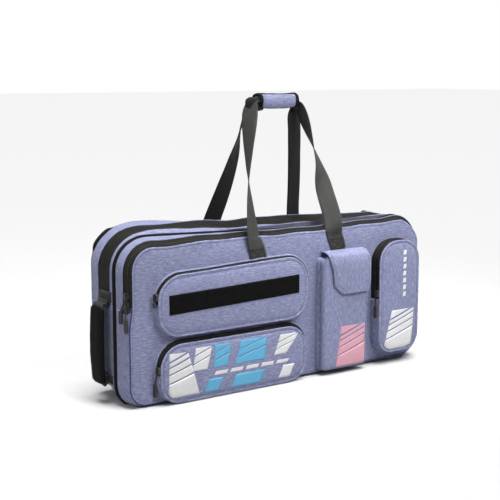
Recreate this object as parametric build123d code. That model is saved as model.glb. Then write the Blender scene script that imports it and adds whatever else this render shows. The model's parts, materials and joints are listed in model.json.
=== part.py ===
from build123d import *
import os

# Racket tournament bag, in millimetres. X runs along the bag, +Y points to its back, +Z points up.
# The origin is the middle of the flat base that it stands on.

# Body: two compartments, one behind the other, with a divider between them
LENGTH = 750
HEIGHT = 325
TOP_RADIUS = 62
BOTTOM_RADIUS = 42
WALL = 5
PANEL_FRONT_Y = -76
PANEL_BACK_Y = -67
GUSSET_FRONT_Y = -66
GUSSET_BACK_Y = 66
BACK_PANEL_Y = 74
DIVIDER_Y = (-36, -32)
PIPING = 2.5
PIPING_END_Z = 4

# Main zips: each runs over the top and part of the way down both ends
ZIP_END_Z = 196
FRONT_BAND_Y = -55
BAG_TAPE_INSET = (3, 7)
LID_TAPE_INSET = (8, 12)
BAG_TAPE_FRONT_Y = -65
LID_TAPE_Y = (-75, -66)
LOWER_PANEL_INSET = 6
REAR_BAND_Y = (-14, 34)
REAR_ZIP_Y = 10
REAR_TAPE_INSET = (0.5, 3.5)
TEETH_GAP = 0.5
BACK_PANEL_INSET = 2

# Pockets on the front: x range, z range, depth, corner radii (top, bottom), lower end of the zip
UPPER_POCKET = {"x": (-312, 44), "z": (136, 268), "depth": 18, "radii": (50, 46), "zip_end": 205}
LOWER_POCKET = {"x": (-310, 40), "z": (4, 118), "depth": 20, "radii": (46, 42), "zip_end": 62}
END_POCKET = {"x": (240, 352), "z": (28, 274), "depth": 28, "radii": (46, 36), "zip_end": 150}
POCKET_WALL = 3
POCKET_FACE = 4
POCKET_TAPE = 6
POCKET_TAPE_WALL = (1, 3)
POCKET_PIPING = 2
LID_GAP = 0.5

# Middle pocket with its flap
MIDDLE_X = (82, 202)
MIDDLE_Z = (12, 256)
MIDDLE_DEPTH = 26
FLAP_X = (88, 206)
FLAP_Z = (176, 267)
FLAP_FRONT_Y = -107
FLAP_BACK_Y = -78
FLAP_THICK = 2
FLAP_BEVEL = 26
CLOSURE_X = (137, 187)
CLOSURE_Z = (187, 207)
CLOSURE_THICK = 1.2

# Loop strip for a name panel, on the upper pocket
STRIP_X = (-292, 19)
STRIP_Z = (184, 222)
STRIP_THICK = 1.5

# Carrying handles, of webbing, held together by a padded grip
WEBBING = 38
WEBBING_THICK = 2.5
HANDLE_X = 25
FRONT_SPACING = 206
REAR_SPACING = 224
PIVOT_Z = 293
FRONT_PIVOT_Y = -84
REAR_PIVOT_Y = 86
PATCH_Z = (271, 291)
PATCH_THICK = 3
GRIP_Z = 582
GRIP_LENGTH = 112
GRIP_RADII = (14, 17)
GRIP_SLOT_ANGLE = 60
FOLDED_BAR = (18, 5)
BAR_Y = 5.2
BAR_END = 20

# Side handle on the left end
SIDE_Y = 4
SIDE_OUT_X = -400
SIDE_INNER_X = -381
SIDE_Z = (37.5, 198.5)
PAD_SIZE = (12, 46, 147)
PAD_CLEARANCE = 0.3
TACK_Z = ((22, 36), (200, 214))
TACK_THICK = 4

# Zip sliders and their pulls
SLIDER = (10, 15, 5)
SEAT_GAP = 0.3
BRIDGE = (3, 10, 3)
BRIDGE_EYE = (7.2, 2)
PULL_AXIS = 6.3
RING = (6.4, 8.4, 1.2)
NECK = (2.4, 1.4)
TIP = (7, 26, 3.6)
NECK_LENGTH = 20
SIDE_SWING = -12
LOWER_PULL_LEAN = -7
NECK_START_SHARE = 1 / 6
MAIN_SLIDER_Z = {"upper": 222, "lower": 205}
POCKET_SLIDER_Z = {"upper": 216, "lower": 72, "end": 162}

BOARD_X = 318
BOARD_THICK = 3


def rectangle(x_range, z_range):
    """Rectangle between two x and two z values."""
    (x0, x1), (z0, z1) = x_range, z_range
    return Pos((x0 + x1) / 2, (z0 + z1) / 2) * Rectangle(x1 - x0, z1 - z0)


def rounded(x_range, z_range, top_radius, bottom_radius):
    """Rectangle with its upper and its lower corners rounded."""
    shape = rectangle(x_range, z_range)
    shape = fillet(shape.vertices().group_by(Axis.Y)[-1], top_radius)
    return fillet(shape.vertices().group_by(Axis.Y)[0], bottom_radius)


def outline(inset):
    """The bag's front view, drawn in by inset all round."""
    x = LENGTH / 2 - inset
    return rounded((-x, x), (inset, HEIGHT - inset), TOP_RADIUS - inset, BOTTOM_RADIUS - inset)


def between(low, high):
    """Wide strip that keeps what lies between two heights."""
    return rectangle((-LENGTH, LENGTH), (low, high))


def above(height):
    return between(height, 2 * HEIGHT)


def below(height):
    return between(-HEIGHT, height)


def slab(sketch, y_front, y_back):
    """Front-view sketch given thickness from y_front back to y_back."""
    return extrude(Plane.XZ.offset(-y_back) * sketch, amount=y_back - y_front)


def box(x_range, y_range, z_range):
    return slab(rectangle(x_range, z_range), *y_range)


# ---------------------------------------------------------------- body

def wall_ring(outer_inset, inner_inset):
    return outline(outer_inset) - outline(inner_inset)


def body_parts():
    """What stays still: both gussets, the divider, the fixed zip tapes and the base board."""
    wall = wall_ring(0, WALL)
    bag_tape = wall_ring(*BAG_TAPE_INSET) & above(ZIP_END_Z)
    rear_tape = wall_ring(*REAR_TAPE_INSET) & above(ZIP_END_Z)
    board_y = (DIVIDER_Y[1] + 1, GUSSET_BACK_Y - WALL)
    return {
        "front_gusset_lower": slab(wall & below(ZIP_END_Z), GUSSET_FRONT_Y, DIVIDER_Y[0]),
        "front_gusset_upper": slab(wall & above(ZIP_END_Z), FRONT_BAND_Y, DIVIDER_Y[0]),
        "front_zip_bag_tape": slab(bag_tape, BAG_TAPE_FRONT_Y, FRONT_BAND_Y),
        "divider_panel": slab(outline(0), *DIVIDER_Y),
        "divider_piping": slab(
            wall_ring(-PIPING, 0) & above(PIPING_END_Z), DIVIDER_Y[0] - 1, DIVIDER_Y[1] + 1),
        "rear_gusset_lower": slab(wall & below(ZIP_END_Z), DIVIDER_Y[1], GUSSET_BACK_Y),
        "rear_gusset_front_upper": slab(wall & above(ZIP_END_Z), DIVIDER_Y[1], REAR_BAND_Y[0]),
        "rear_zip_bag_tape": slab(rear_tape, REAR_BAND_Y[0], REAR_ZIP_Y - TEETH_GAP),
        "base_board": box((-BOARD_X, BOARD_X), board_y, (WALL, WALL + BOARD_THICK)),
    }


def front_panel_parts():
    """The front panel, which folds down on its bottom seam, with its half of the zip."""
    lower = outline(LOWER_PANEL_INSET) & below(ZIP_END_Z)
    upper = outline(LID_TAPE_INSET[1]) & above(ZIP_END_Z)
    lid_tape = wall_ring(*LID_TAPE_INSET) & above(ZIP_END_Z)
    return {
        "front_panel": slab(lower + upper, PANEL_FRONT_Y, PANEL_BACK_Y),
        "front_zip_lid_tape": slab(lid_tape, *LID_TAPE_Y),
        "front_strap_patches": strap_patches(FRONT_SPACING, PANEL_FRONT_Y - PATCH_THICK),
    }


def back_panel_parts():
    """The back panel, with the part of the gusset behind the rear zip."""
    wall = wall_ring(0, WALL) & above(ZIP_END_Z)
    rear_tape = wall_ring(*REAR_TAPE_INSET) & above(ZIP_END_Z)
    piping = wall_ring(-PIPING, BACK_PANEL_INSET) & above(PIPING_END_Z)
    return {
        "back_panel": slab(outline(BACK_PANEL_INSET), GUSSET_BACK_Y, BACK_PANEL_Y),
        "back_panel_piping": slab(piping, GUSSET_BACK_Y, GUSSET_BACK_Y + WALL),
        "rear_gusset_back_upper": slab(wall, REAR_BAND_Y[1], GUSSET_BACK_Y),
        "rear_zip_lid_tape": slab(rear_tape, REAR_ZIP_Y + TEETH_GAP, REAR_BAND_Y[1]),
        "rear_strap_patches": strap_patches(REAR_SPACING, BACK_PANEL_Y),
    }


def strap_patches(spacing, y_front):
    """The two places where a handle's webbing is sewn down."""
    centres = [HANDLE_X - spacing / 2, HANDLE_X + spacing / 2]
    x_ranges = [(x - WEBBING / 2, x + WEBBING / 2) for x in centres]
    return Compound([box(x_range, (y_front, y_front + PATCH_THICK), PATCH_Z) for x_range in x_ranges])


# ---------------------------------------------------------------- pockets

def pocket_outline(pocket, inset):
    (x0, x1), (z0, z1) = pocket["x"], pocket["z"]
    top, bottom = pocket["radii"]
    return rounded((x0 + inset, x1 - inset), (z0 + inset, z1 - inset), top - inset, bottom - inset)


def pocket_face_back(pocket):
    """Y of the back of a pocket's face, which is where its lid hinges."""
    return PANEL_FRONT_Y - pocket["depth"] + POCKET_FACE


def zipped_pocket(name, pocket):
    """Gusset and zip tape sewn to the front panel, and the face and its piping that open."""
    face_back = pocket_face_back(pocket)
    tape_front = face_back + LID_GAP
    tape_back = tape_front + POCKET_TAPE
    wall = pocket_outline(pocket, 0) - pocket_outline(pocket, POCKET_WALL)
    tape = pocket_outline(pocket, POCKET_TAPE_WALL[0]) - pocket_outline(pocket, POCKET_TAPE_WALL[1])
    piping = pocket_outline(pocket, -POCKET_PIPING) - pocket_outline(pocket, 0)
    gusset = slab(wall, tape_back, PANEL_FRONT_Y)
    gusset += slab(wall & below(pocket["zip_end"]), tape_front, tape_back)
    return {
        f"{name}_pocket_gusset": gusset,
        f"{name}_pocket_zip_tape": slab(tape & above(pocket["zip_end"]), tape_front, tape_back),
        f"{name}_pocket_face": slab(pocket_outline(pocket, 0), face_back - POCKET_FACE, face_back),
        f"{name}_pocket_piping": slab(piping, face_back - POCKET_FACE + 1, face_back),
    }


def middle_pocket_parts():
    """Open-topped pouch, its flap, and the hook-and-loop closure between them."""
    (x0, x1), (z0, z1) = MIDDLE_X, MIDDLE_Z
    face_y = PANEL_FRONT_Y - MIDDLE_DEPTH
    inner_x = (x0 + POCKET_WALL, x1 - POCKET_WALL)
    pouch = box(MIDDLE_X, (face_y, PANEL_FRONT_Y), MIDDLE_Z)
    pouch -= box(inner_x, (face_y + POCKET_WALL, PANEL_FRONT_Y), (z0 + POCKET_WALL, z1))

    (f0, f1), (low, high) = FLAP_X, FLAP_Z
    hanging = Polyline(
        (f0, high), (f0, low + FLAP_BEVEL), (f0 + FLAP_BEVEL, low),
        (f1 - FLAP_BEVEL, low), (f1, low + FLAP_BEVEL), (f1, high), close=True)
    flap = slab(make_face(hanging), FLAP_FRONT_Y, FLAP_FRONT_Y + FLAP_THICK)
    flap += box(FLAP_X, (FLAP_FRONT_Y, FLAP_BACK_Y), (high - FLAP_THICK, high))
    hook_y = FLAP_FRONT_Y + FLAP_THICK
    return {
        "middle_pocket": pouch,
        "flap_loop_patch": box(CLOSURE_X, (face_y - CLOSURE_THICK, face_y), CLOSURE_Z),
        "pocket_flap": flap,
        "flap_hook_patch": box(CLOSURE_X, (hook_y, hook_y + CLOSURE_THICK), CLOSURE_Z),
    }


# ---------------------------------------------------------------- handles

def webbing_handle(spacing, pivot_y, bar_y):
    """Two tapered legs and the folded bar that the grip holds, in one leaning plane."""
    up = Vector(0, bar_y - pivot_y, GRIP_Z - PIVOT_Z)
    reach = up.length
    plane = Plane(
        origin=(HANDLE_X, pivot_y, PIVOT_Z), x_dir=(1, 0, 0), z_dir=Vector(1, 0, 0).cross(up))
    bar_high, bar_thick = FOLDED_BAR
    inner_top = GRIP_LENGTH / 2 + 2
    outer_top = GRIP_LENGTH / 2 + BAR_END
    inner_foot = (spacing - WEBBING) / 2
    outer_foot = (spacing + WEBBING) / 2
    leg = make_face(Polyline(
        (inner_foot, 0), (outer_foot, 0),
        (outer_top, reach + bar_high / 2), (inner_top, reach - bar_high / 2), close=True))
    legs = leg + mirror(leg, about=Plane.YZ)
    bar = Pos(0, reach) * Rectangle(2 * outer_top, bar_high)
    handle = extrude(plane * legs, amount=WEBBING_THICK / 2, both=True)
    return handle + extrude(plane * bar, amount=bar_thick / 2, both=True)


def grip_wrap():
    """Padded sleeve around both handles, open along the back so that the rear one can leave."""
    inner, outer = GRIP_RADII
    slot_reach = 2 * outer
    slot = make_face(Polyline(
        (0, 0),
        (slot_reach, slot_reach * tan_degrees(GRIP_SLOT_ANGLE)),
        (slot_reach, -slot_reach * tan_degrees(GRIP_SLOT_ANGLE)), close=True))
    section = Circle(outer) - Circle(inner) - slot
    seat = Plane(origin=(HANDLE_X - GRIP_LENGTH / 2, 0, GRIP_Z), x_dir=(0, 1, 0), z_dir=(1, 0, 0))
    return extrude(seat * section, amount=GRIP_LENGTH)


def tan_degrees(angle):
    """Tangent, from the direction of a unit vector turned by the angle."""
    turned = Vector(1, 0, 0).rotate(Axis.Z, angle)
    return turned.Y / turned.X


def side_handle_parts():
    """Webbing loop on the left end, with its sleeve pad and the tacks that hold it."""
    outer_x = SIDE_OUT_X - WEBBING_THICK
    low, high = SIDE_Z
    webbing_y = (SIDE_Y - WEBBING / 2, SIDE_Y + WEBBING / 2)
    loop = box((outer_x, SIDE_INNER_X), webbing_y, SIDE_Z)
    loop -= box((SIDE_OUT_X, SIDE_INNER_X), webbing_y, (low + WEBBING_THICK, high - WEBBING_THICK))

    middle_x = SIDE_OUT_X - WEBBING_THICK / 2
    middle_z = (low + high) / 2
    thick, wide, long = PAD_SIZE
    pad = Box(thick, wide, long) - Box(
        WEBBING_THICK + 2 * PAD_CLEARANCE, WEBBING + 2 * PAD_CLEARANCE, long)
    end_x = -LENGTH / 2
    tacks = [box((end_x - TACK_THICK, end_x), webbing_y, z_range) for z_range in TACK_Z]
    return {
        "side_handle_webbing": loop,
        "side_handle_pad": Pos(middle_x, SIDE_Y, middle_z) * pad,
        "side_handle_tacks": Compound(tacks),
    }


# ---------------------------------------------------------------- zip hardware

def zip_seat(x, y, z, normal):
    """Plane on the zip: local Z points out of the bag, local Y up and local X across the tape."""
    out = Vector(*normal).normalized()
    return Plane(origin=(x, y, z), x_dir=Vector(0, 0, 1).cross(out), z_dir=out)


def slider_and_pull(seat, side_swing=0, neck_length=NECK_LENGTH, tip_length=TIP[1]):
    """Slider with its bridge, and the ring, neck and tip that hang from the bridge."""
    wide, long, thick = SLIDER
    top = SEAT_GAP + thick
    body = Pos(0, 0, SEAT_GAP) * extrude(RectangleRounded(wide, long, wide / 3), amount=thick)
    bridge_wide, bridge_long, bridge_high = BRIDGE
    eye_long, eye_high = BRIDGE_EYE
    arch = Pos(0, top + bridge_high / 2) * Rectangle(bridge_long, bridge_high)
    arch -= Pos(0, top + eye_high / 2) * Rectangle(eye_long, eye_high)
    slider = body + extrude(Plane.YZ * arch, amount=bridge_wide / 2, both=True)

    ring_wide, ring_long, bar = RING
    ring_end = bar / 2 - ring_long
    ring = Pos(0, bar / 2 - ring_long / 2) * (
        Rectangle(ring_wide, ring_long) - Rectangle(ring_wide - 2 * bar, ring_long - 2 * bar))
    neck_wide, neck_thick = NECK
    tip_top = ring_end - neck_length
    neck_x = side_swing * NECK_START_SHARE
    neck = make_face(Polyline(
        (neck_x - neck_wide / 2, ring_end), (neck_x + neck_wide / 2, ring_end),
        (side_swing + neck_wide / 2, tip_top), (side_swing - neck_wide / 2, tip_top), close=True))
    tip_wide, _, tip_thick = TIP
    tip = Pos(side_swing, tip_top - tip_length / 2) * RectangleRounded(tip_wide, tip_length, tip_wide / 3)
    pull = extrude(ring, amount=bar / 2, both=True)
    pull += extrude(neck, amount=neck_thick / 2, both=True)
    pull += extrude(tip, amount=tip_thick / 2, both=True)
    return seat.location * slider, seat.location * Pos(0, 0, PULL_AXIS) * pull


def front_zip_seat(z):
    """On the chamfer between the two tapes at the left end of the front zip."""
    bag_edge = Vector(BAG_TAPE_INSET[0] - LENGTH / 2, BAG_TAPE_FRONT_Y)
    lid_edge = Vector(LID_TAPE_INSET[0] - LENGTH / 2, LID_TAPE_Y[0])
    across = lid_edge - bag_edge
    middle = (bag_edge + lid_edge) / 2
    return zip_seat(middle.X, middle.Y, z, (across.Y, -across.X, 0))


def rear_zip_seat(z):
    return zip_seat(LENGTH / 2 - REAR_TAPE_INSET[0], REAR_ZIP_Y, z, (1, 0, 0))


def pocket_zip_seat(pocket, z):
    tape_y = pocket_face_back(pocket) + LID_GAP + POCKET_TAPE / 2
    return zip_seat(pocket["x"][0] - POCKET_PIPING, tape_y, z, (-1, 0, 0))


def zip_hardware():
    """Two sliders on each main zip and one on each pocket, every one with its own pull."""
    items = {}
    for compartment, seat in (("front", front_zip_seat), ("rear", rear_zip_seat)):
        for place, z in MAIN_SLIDER_Z.items():
            swing = SIDE_SWING if place == "upper" else 0
            items[f"{compartment}_zip_{place}"] = slider_and_pull(seat(z), swing)
    upper_seat = pocket_zip_seat(UPPER_POCKET, POCKET_SLIDER_Z["upper"])
    lower_seat = pocket_zip_seat(LOWER_POCKET, POCKET_SLIDER_Z["lower"])
    end_seat = pocket_zip_seat(END_POCKET, POCKET_SLIDER_Z["end"])
    items["upper_pocket"] = slider_and_pull(upper_seat, neck_length=2, tip_length=10)
    items["lower_pocket"] = slider_and_pull(lower_seat, LOWER_PULL_LEAN)
    items["end_pocket"] = slider_and_pull(end_seat)
    sliders = {f"{name}_slider": pair[0] for name, pair in items.items()}
    pulls = {f"{name}_pull": pair[1] for name, pair in items.items()}
    return sliders | pulls


# ---------------------------------------------------------------- assembly

def build():
    """All sub-parts by name."""
    strip_back = PANEL_FRONT_Y - UPPER_POCKET["depth"]
    parts = body_parts() | front_panel_parts() | back_panel_parts() | middle_pocket_parts()
    for name, pocket in (("upper", UPPER_POCKET), ("lower", LOWER_POCKET), ("end", END_POCKET)):
        parts |= zipped_pocket(name, pocket)
    parts["loop_strip"] = box(STRIP_X, (strip_back - STRIP_THICK, strip_back), STRIP_Z)
    parts["front_handle_webbing"] = webbing_handle(FRONT_SPACING, FRONT_PIVOT_Y, -BAR_Y)
    parts["rear_handle_webbing"] = webbing_handle(REAR_SPACING, REAR_PIVOT_Y, BAR_Y)
    parts["grip_wrap"] = grip_wrap()
    return parts | side_handle_parts() | zip_hardware()


os.makedirs("parts", exist_ok=True)
for part_name, part in build().items():
    export_step(part, f"parts/{part_name}.step")
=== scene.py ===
import json
import math

import bmesh
import bpy
from mathutils import Vector, noise
from mathutils.bvhtree import BVHTree
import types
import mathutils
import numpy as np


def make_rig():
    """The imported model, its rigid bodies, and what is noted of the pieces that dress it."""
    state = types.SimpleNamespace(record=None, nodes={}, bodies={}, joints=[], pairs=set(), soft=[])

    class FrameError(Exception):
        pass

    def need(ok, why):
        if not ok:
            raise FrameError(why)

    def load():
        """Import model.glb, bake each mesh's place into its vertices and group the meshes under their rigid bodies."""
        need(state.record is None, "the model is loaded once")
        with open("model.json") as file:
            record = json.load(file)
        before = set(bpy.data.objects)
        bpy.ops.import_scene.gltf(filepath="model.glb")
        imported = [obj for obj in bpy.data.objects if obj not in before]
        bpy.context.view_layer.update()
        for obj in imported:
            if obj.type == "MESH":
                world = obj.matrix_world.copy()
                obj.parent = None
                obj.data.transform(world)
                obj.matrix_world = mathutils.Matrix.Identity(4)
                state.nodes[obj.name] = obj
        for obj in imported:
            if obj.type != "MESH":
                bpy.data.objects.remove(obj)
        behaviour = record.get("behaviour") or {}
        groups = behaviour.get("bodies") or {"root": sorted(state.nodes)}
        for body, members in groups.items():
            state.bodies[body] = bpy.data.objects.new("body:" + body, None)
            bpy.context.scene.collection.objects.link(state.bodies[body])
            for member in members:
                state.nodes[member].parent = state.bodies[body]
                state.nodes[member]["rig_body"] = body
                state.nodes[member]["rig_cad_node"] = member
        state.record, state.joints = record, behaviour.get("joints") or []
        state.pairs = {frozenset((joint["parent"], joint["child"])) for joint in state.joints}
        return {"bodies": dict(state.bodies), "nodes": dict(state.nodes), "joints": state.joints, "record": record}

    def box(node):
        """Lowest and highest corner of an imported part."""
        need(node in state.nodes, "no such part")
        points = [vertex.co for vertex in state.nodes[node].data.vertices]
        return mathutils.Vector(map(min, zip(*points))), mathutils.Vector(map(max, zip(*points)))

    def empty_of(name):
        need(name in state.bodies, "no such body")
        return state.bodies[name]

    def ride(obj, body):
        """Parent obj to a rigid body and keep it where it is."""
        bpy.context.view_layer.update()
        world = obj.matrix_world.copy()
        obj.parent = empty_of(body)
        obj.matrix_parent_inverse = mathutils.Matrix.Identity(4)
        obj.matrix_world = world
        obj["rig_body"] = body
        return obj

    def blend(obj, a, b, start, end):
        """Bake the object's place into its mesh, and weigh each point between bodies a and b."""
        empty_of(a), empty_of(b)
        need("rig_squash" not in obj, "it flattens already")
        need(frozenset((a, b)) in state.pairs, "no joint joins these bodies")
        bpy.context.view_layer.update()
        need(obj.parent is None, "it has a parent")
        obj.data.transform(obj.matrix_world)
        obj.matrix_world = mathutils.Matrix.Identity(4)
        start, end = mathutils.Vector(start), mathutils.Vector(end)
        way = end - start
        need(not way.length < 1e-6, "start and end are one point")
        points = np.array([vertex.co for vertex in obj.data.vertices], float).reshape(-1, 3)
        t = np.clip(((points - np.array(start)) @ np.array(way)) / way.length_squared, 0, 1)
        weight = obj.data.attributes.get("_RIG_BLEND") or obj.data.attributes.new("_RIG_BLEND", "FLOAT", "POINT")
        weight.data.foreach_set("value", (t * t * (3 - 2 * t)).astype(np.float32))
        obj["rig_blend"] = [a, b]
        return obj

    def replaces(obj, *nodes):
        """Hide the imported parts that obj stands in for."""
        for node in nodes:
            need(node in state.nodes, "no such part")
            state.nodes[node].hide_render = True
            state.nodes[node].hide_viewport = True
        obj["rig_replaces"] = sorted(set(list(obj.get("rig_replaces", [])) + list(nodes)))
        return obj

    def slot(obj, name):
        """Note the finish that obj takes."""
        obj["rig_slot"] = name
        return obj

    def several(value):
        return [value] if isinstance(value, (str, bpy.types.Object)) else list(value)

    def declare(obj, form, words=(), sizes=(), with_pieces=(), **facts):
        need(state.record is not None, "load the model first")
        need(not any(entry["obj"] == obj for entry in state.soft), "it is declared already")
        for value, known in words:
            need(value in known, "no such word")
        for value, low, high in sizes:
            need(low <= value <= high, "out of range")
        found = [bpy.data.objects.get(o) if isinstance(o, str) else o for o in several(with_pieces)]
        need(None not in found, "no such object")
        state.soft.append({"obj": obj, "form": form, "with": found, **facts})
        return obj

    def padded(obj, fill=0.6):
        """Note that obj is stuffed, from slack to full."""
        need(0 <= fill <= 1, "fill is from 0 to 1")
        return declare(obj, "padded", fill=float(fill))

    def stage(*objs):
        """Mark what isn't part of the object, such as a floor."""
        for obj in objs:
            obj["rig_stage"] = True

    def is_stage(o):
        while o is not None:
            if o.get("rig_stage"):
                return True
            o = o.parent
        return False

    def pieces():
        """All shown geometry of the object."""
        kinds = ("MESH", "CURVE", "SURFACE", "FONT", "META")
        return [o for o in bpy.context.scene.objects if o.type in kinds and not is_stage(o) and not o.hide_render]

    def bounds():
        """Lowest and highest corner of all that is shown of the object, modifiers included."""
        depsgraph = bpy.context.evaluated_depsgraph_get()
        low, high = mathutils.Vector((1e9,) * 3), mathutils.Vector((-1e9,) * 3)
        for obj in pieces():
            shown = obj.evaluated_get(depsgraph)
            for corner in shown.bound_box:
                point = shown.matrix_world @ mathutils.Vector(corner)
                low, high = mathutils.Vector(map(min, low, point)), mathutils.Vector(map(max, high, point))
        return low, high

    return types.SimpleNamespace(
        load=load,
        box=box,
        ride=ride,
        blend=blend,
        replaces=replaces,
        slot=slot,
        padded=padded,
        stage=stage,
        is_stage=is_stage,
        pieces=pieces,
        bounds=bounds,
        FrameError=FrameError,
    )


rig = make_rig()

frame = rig.load()
cad_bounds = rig.bounds()

# The look of the racket tournament bag. Shapes are worked out in millimetres, in the CAD frame:
# X runs along the bag, +Y points to its back, +Z points up. Pieces are made in metres.
METRE = 1000.0
UP = Vector((0, 0, 1))
BACK = Vector((0, 1, 0))


def cad(*nodes):
    """Lowest and highest corner of some CAD nodes together, in millimetres."""
    boxes = [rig.box(node) for node in nodes]
    low = Vector([min(box[0][i] for box in boxes) for i in range(3)])
    high = Vector([max(box[1][i] for box in boxes) for i in range(3)])
    return low * METRE, high * METRE


def span(node, axis):
    low, high = cad(node)
    return low[axis], high[axis]


# ---------------------------------------------------------------- sizes read from the frame

BODY_X = span("divider_panel", 0)
BODY_Z = (0.0, span("divider_panel", 2)[1])
BODY_RADII = (62, 42)
ZIP_END_Z = span("front_gusset_upper", 2)[0]
DIVIDER_Y = sum(span("divider_panel", 1)) / 2
FRONT_Y = span("front_panel", 1)[0]
BACK_Y = span("back_panel", 1)[1]
REAR_BAND_Y = (span("rear_zip_bag_tape", 1)[0], span("rear_zip_lid_tape", 1)[1])
REAR_ZIP_Y = (span("rear_zip_bag_tape", 1)[1] + span("rear_zip_lid_tape", 1)[0]) / 2
GRIP_LOW, GRIP_HIGH = cad("grip_wrap")

CLOTH_THICK = 1.6
MIN_RADIUS = 6.0
CORNER_STEPS = 14


# ---------------------------------------------------------------- shape tools

def smooth(t):
    """Eases from 0 to 1 while t goes from 0 to 1."""
    t = min(max(t, 0.0), 1.0)
    return t * t * (3 - 2 * t)


def mix(a, b, t):
    return a + (b - a) * t


def bell(t):
    """0 at both ends of 0 to 1 and 1 in the middle, along a sine."""
    return math.sin(math.pi * min(max(t, 0), 1))


def ripple(point, amount, size):
    """Soft unevenness of stuffed cloth, the same on every run."""
    return amount * noise.noise(Vector(point) / size)


def table_at(table, s):
    """Straight-line value of a short table at s."""
    for (s0, v0), (s1, v1) in zip(table, table[1:]):
        if s <= s1:
            return mix(v0, v1, (s - s0) / (s1 - s0))
    return table[-1][1]


def sheet(rows, columns, point):
    """Rows of points point(u, v), with u and v from 0 to 1 in even steps."""
    return [[point(i / rows, j / columns) for j in range(columns + 1)] for i in range(rows + 1)]


def on_arc(x, z, radius, angle):
    c, s = math.cos(angle), math.sin(angle)
    return x + radius * c, z + radius * s, c, s


class Outline:
    """A rounded rectangle in the front view, split at a height into a lower and an upper half."""

    def __init__(self, x, z, radii, split, step=9.0):
        self.x = x
        self.z = z
        self.radii = radii
        self.split = split
        self.flat_steps = max(6, round((x[1] - x[0] - 2 * max(radii)) / step))
        self.side_steps = max(4, round((z[1] - z[0] - sum(radii)) / 2 / step))
        self.steps = 2 * self.side_steps + 2 * CORNER_STEPS + self.flat_steps

    def half(self, upper, inset=0.0, split=None):
        """(x, z, normal x, normal z) from the left split point to the right one, drawn in by inset."""
        split = self.split if split is None else split
        radius = max(self.radii[0 if upper else 1] - inset, MIN_RADIUS)
        left = self.x[0] + inset
        right = self.x[1] - inset
        turn = 1 if upper else -1
        edge = self.z[1] - inset if upper else self.z[0] + inset
        centre = edge - turn * radius
        sides = [i / self.side_steps for i in range(self.side_steps + 1)]
        turns = [math.pi / 2 * turn * i / CORNER_STEPS for i in range(CORNER_STEPS)]
        flats = [i / self.flat_steps for i in range(self.flat_steps)]
        found = [(left, mix(split, centre, t), -1.0, 0.0) for t in sides[:-1]]
        found += [on_arc(left + radius, centre, radius, math.pi - angle) for angle in turns]
        found += [(mix(left + radius, right - radius, t), edge, 0.0, float(turn)) for t in flats]
        found += [on_arc(right - radius, centre, radius, math.pi / 2 * turn - angle) for angle in turns]
        found += [(right, mix(centre, split, t), 1.0, 0.0) for t in sides]
        return found

    def ring(self, inset=0.0):
        """The whole outline, counter-clockwise seen from the front."""
        return self.half(False, inset) + self.half(True, inset)[-2:0:-1]


class Cloth:
    """Points and faces of a piece. Each face corner keeps its place on the flat cloth, for the weave."""

    def __init__(self):
        self.points = []
        self.faces = []

    def add(self, point):
        self.points.append(Vector(point))
        return len(self.points) - 1

    def face(self, corners):
        """Adds a face from (index, flat place) pairs, leaving out corners that repeat."""
        kept = []
        for corner in corners:
            if corner[0] not in [k[0] for k in kept]:
                kept.append(corner)
        if len(kept) > 2:
            self.faces.append(kept)

    def grid(self, rows, flip=False, closed=False, turned=False):
        """A sheet through rows of points. Its flat place is the distance along and across the rows."""
        index = [[self.add(p) for p in row] for row in rows]
        along = [0.0]
        for a, b in zip(rows, rows[1:]):
            along.append(along[-1] + max((q - p).length for p, q in zip(a, b)))
        across = [0.0]
        middle = rows[len(rows) // 2]
        for a, b in zip(middle, middle[1:] + middle[:1]):
            across.append(across[-1] + (b - a).length)
        columns = len(rows[0])
        for i in range(len(rows) - 1):
            for j in range(columns if closed else columns - 1):
                places = [(i, j), (i + 1, j), (i + 1, j + 1), (i, j + 1)]
                corners = []
                for a, b in places:
                    flat = (across[b], along[a]) if turned else (along[a], across[b])
                    corners.append((index[a][b % columns], flat))
                self.face(corners[::-1] if flip else corners)
        return self

    def patch(self, index, flip=False, turned=False):
        """Faces over a grid of points that are already there; its flat place is the front view."""
        for i in range(len(index) - 1):
            for j in range(len(index[0]) - 1):
                corners = []
                for k in (index[i][j], index[i + 1][j], index[i + 1][j + 1], index[i][j + 1]):
                    corners.append((k, self.front_view(k, turned)))
                self.face(corners[::-1] if flip else corners)

    def front_view(self, k, turned):
        point = self.points[k]
        return (point.z, point.x) if turned else (point.x, point.z)

    def moved(self, change):
        self.points = [change(p) for p in self.points]
        return self

    def piece(self, name, thick=0.0):
        """The Blender object, in metres, thickened inwards where a thickness is given."""
        mesh = bpy.data.meshes.new(name)
        mesh.from_pydata([p / METRE for p in self.points], [], [[c[0] for c in f] for f in self.faces])
        layer = mesh.uv_layers.new(name="flat")
        flats = [c[1] for f in self.faces for c in f]
        for loop, flat in zip(layer.data, flats):
            loop.uv = (flat[0] / METRE, flat[1] / METRE)
        mesh.polygons.foreach_set("use_smooth", [True] * len(mesh.polygons))
        weld(mesh)
        piece = bpy.data.objects.new(name, mesh)
        bpy.context.scene.collection.objects.link(piece)
        if thick:
            solid = piece.modifiers.new("thickness", "SOLIDIFY")
            solid.thickness = thick / METRE
            solid.offset = -1
            apply_modifiers(piece)
        return piece


def weld(mesh):
    """Joins points that lie on each other, such as where a ring closes."""
    work = bmesh.new()
    work.from_mesh(mesh)
    bmesh.ops.remove_doubles(work, verts=work.verts, dist=2e-6)
    work.to_mesh(mesh)
    work.free()


def apply_modifiers(piece):
    graph = bpy.context.evaluated_depsgraph_get()
    final = bpy.data.meshes.new_from_object(piece.evaluated_get(graph), depsgraph=graph)
    piece.modifiers.clear()
    piece.data = final


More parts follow.
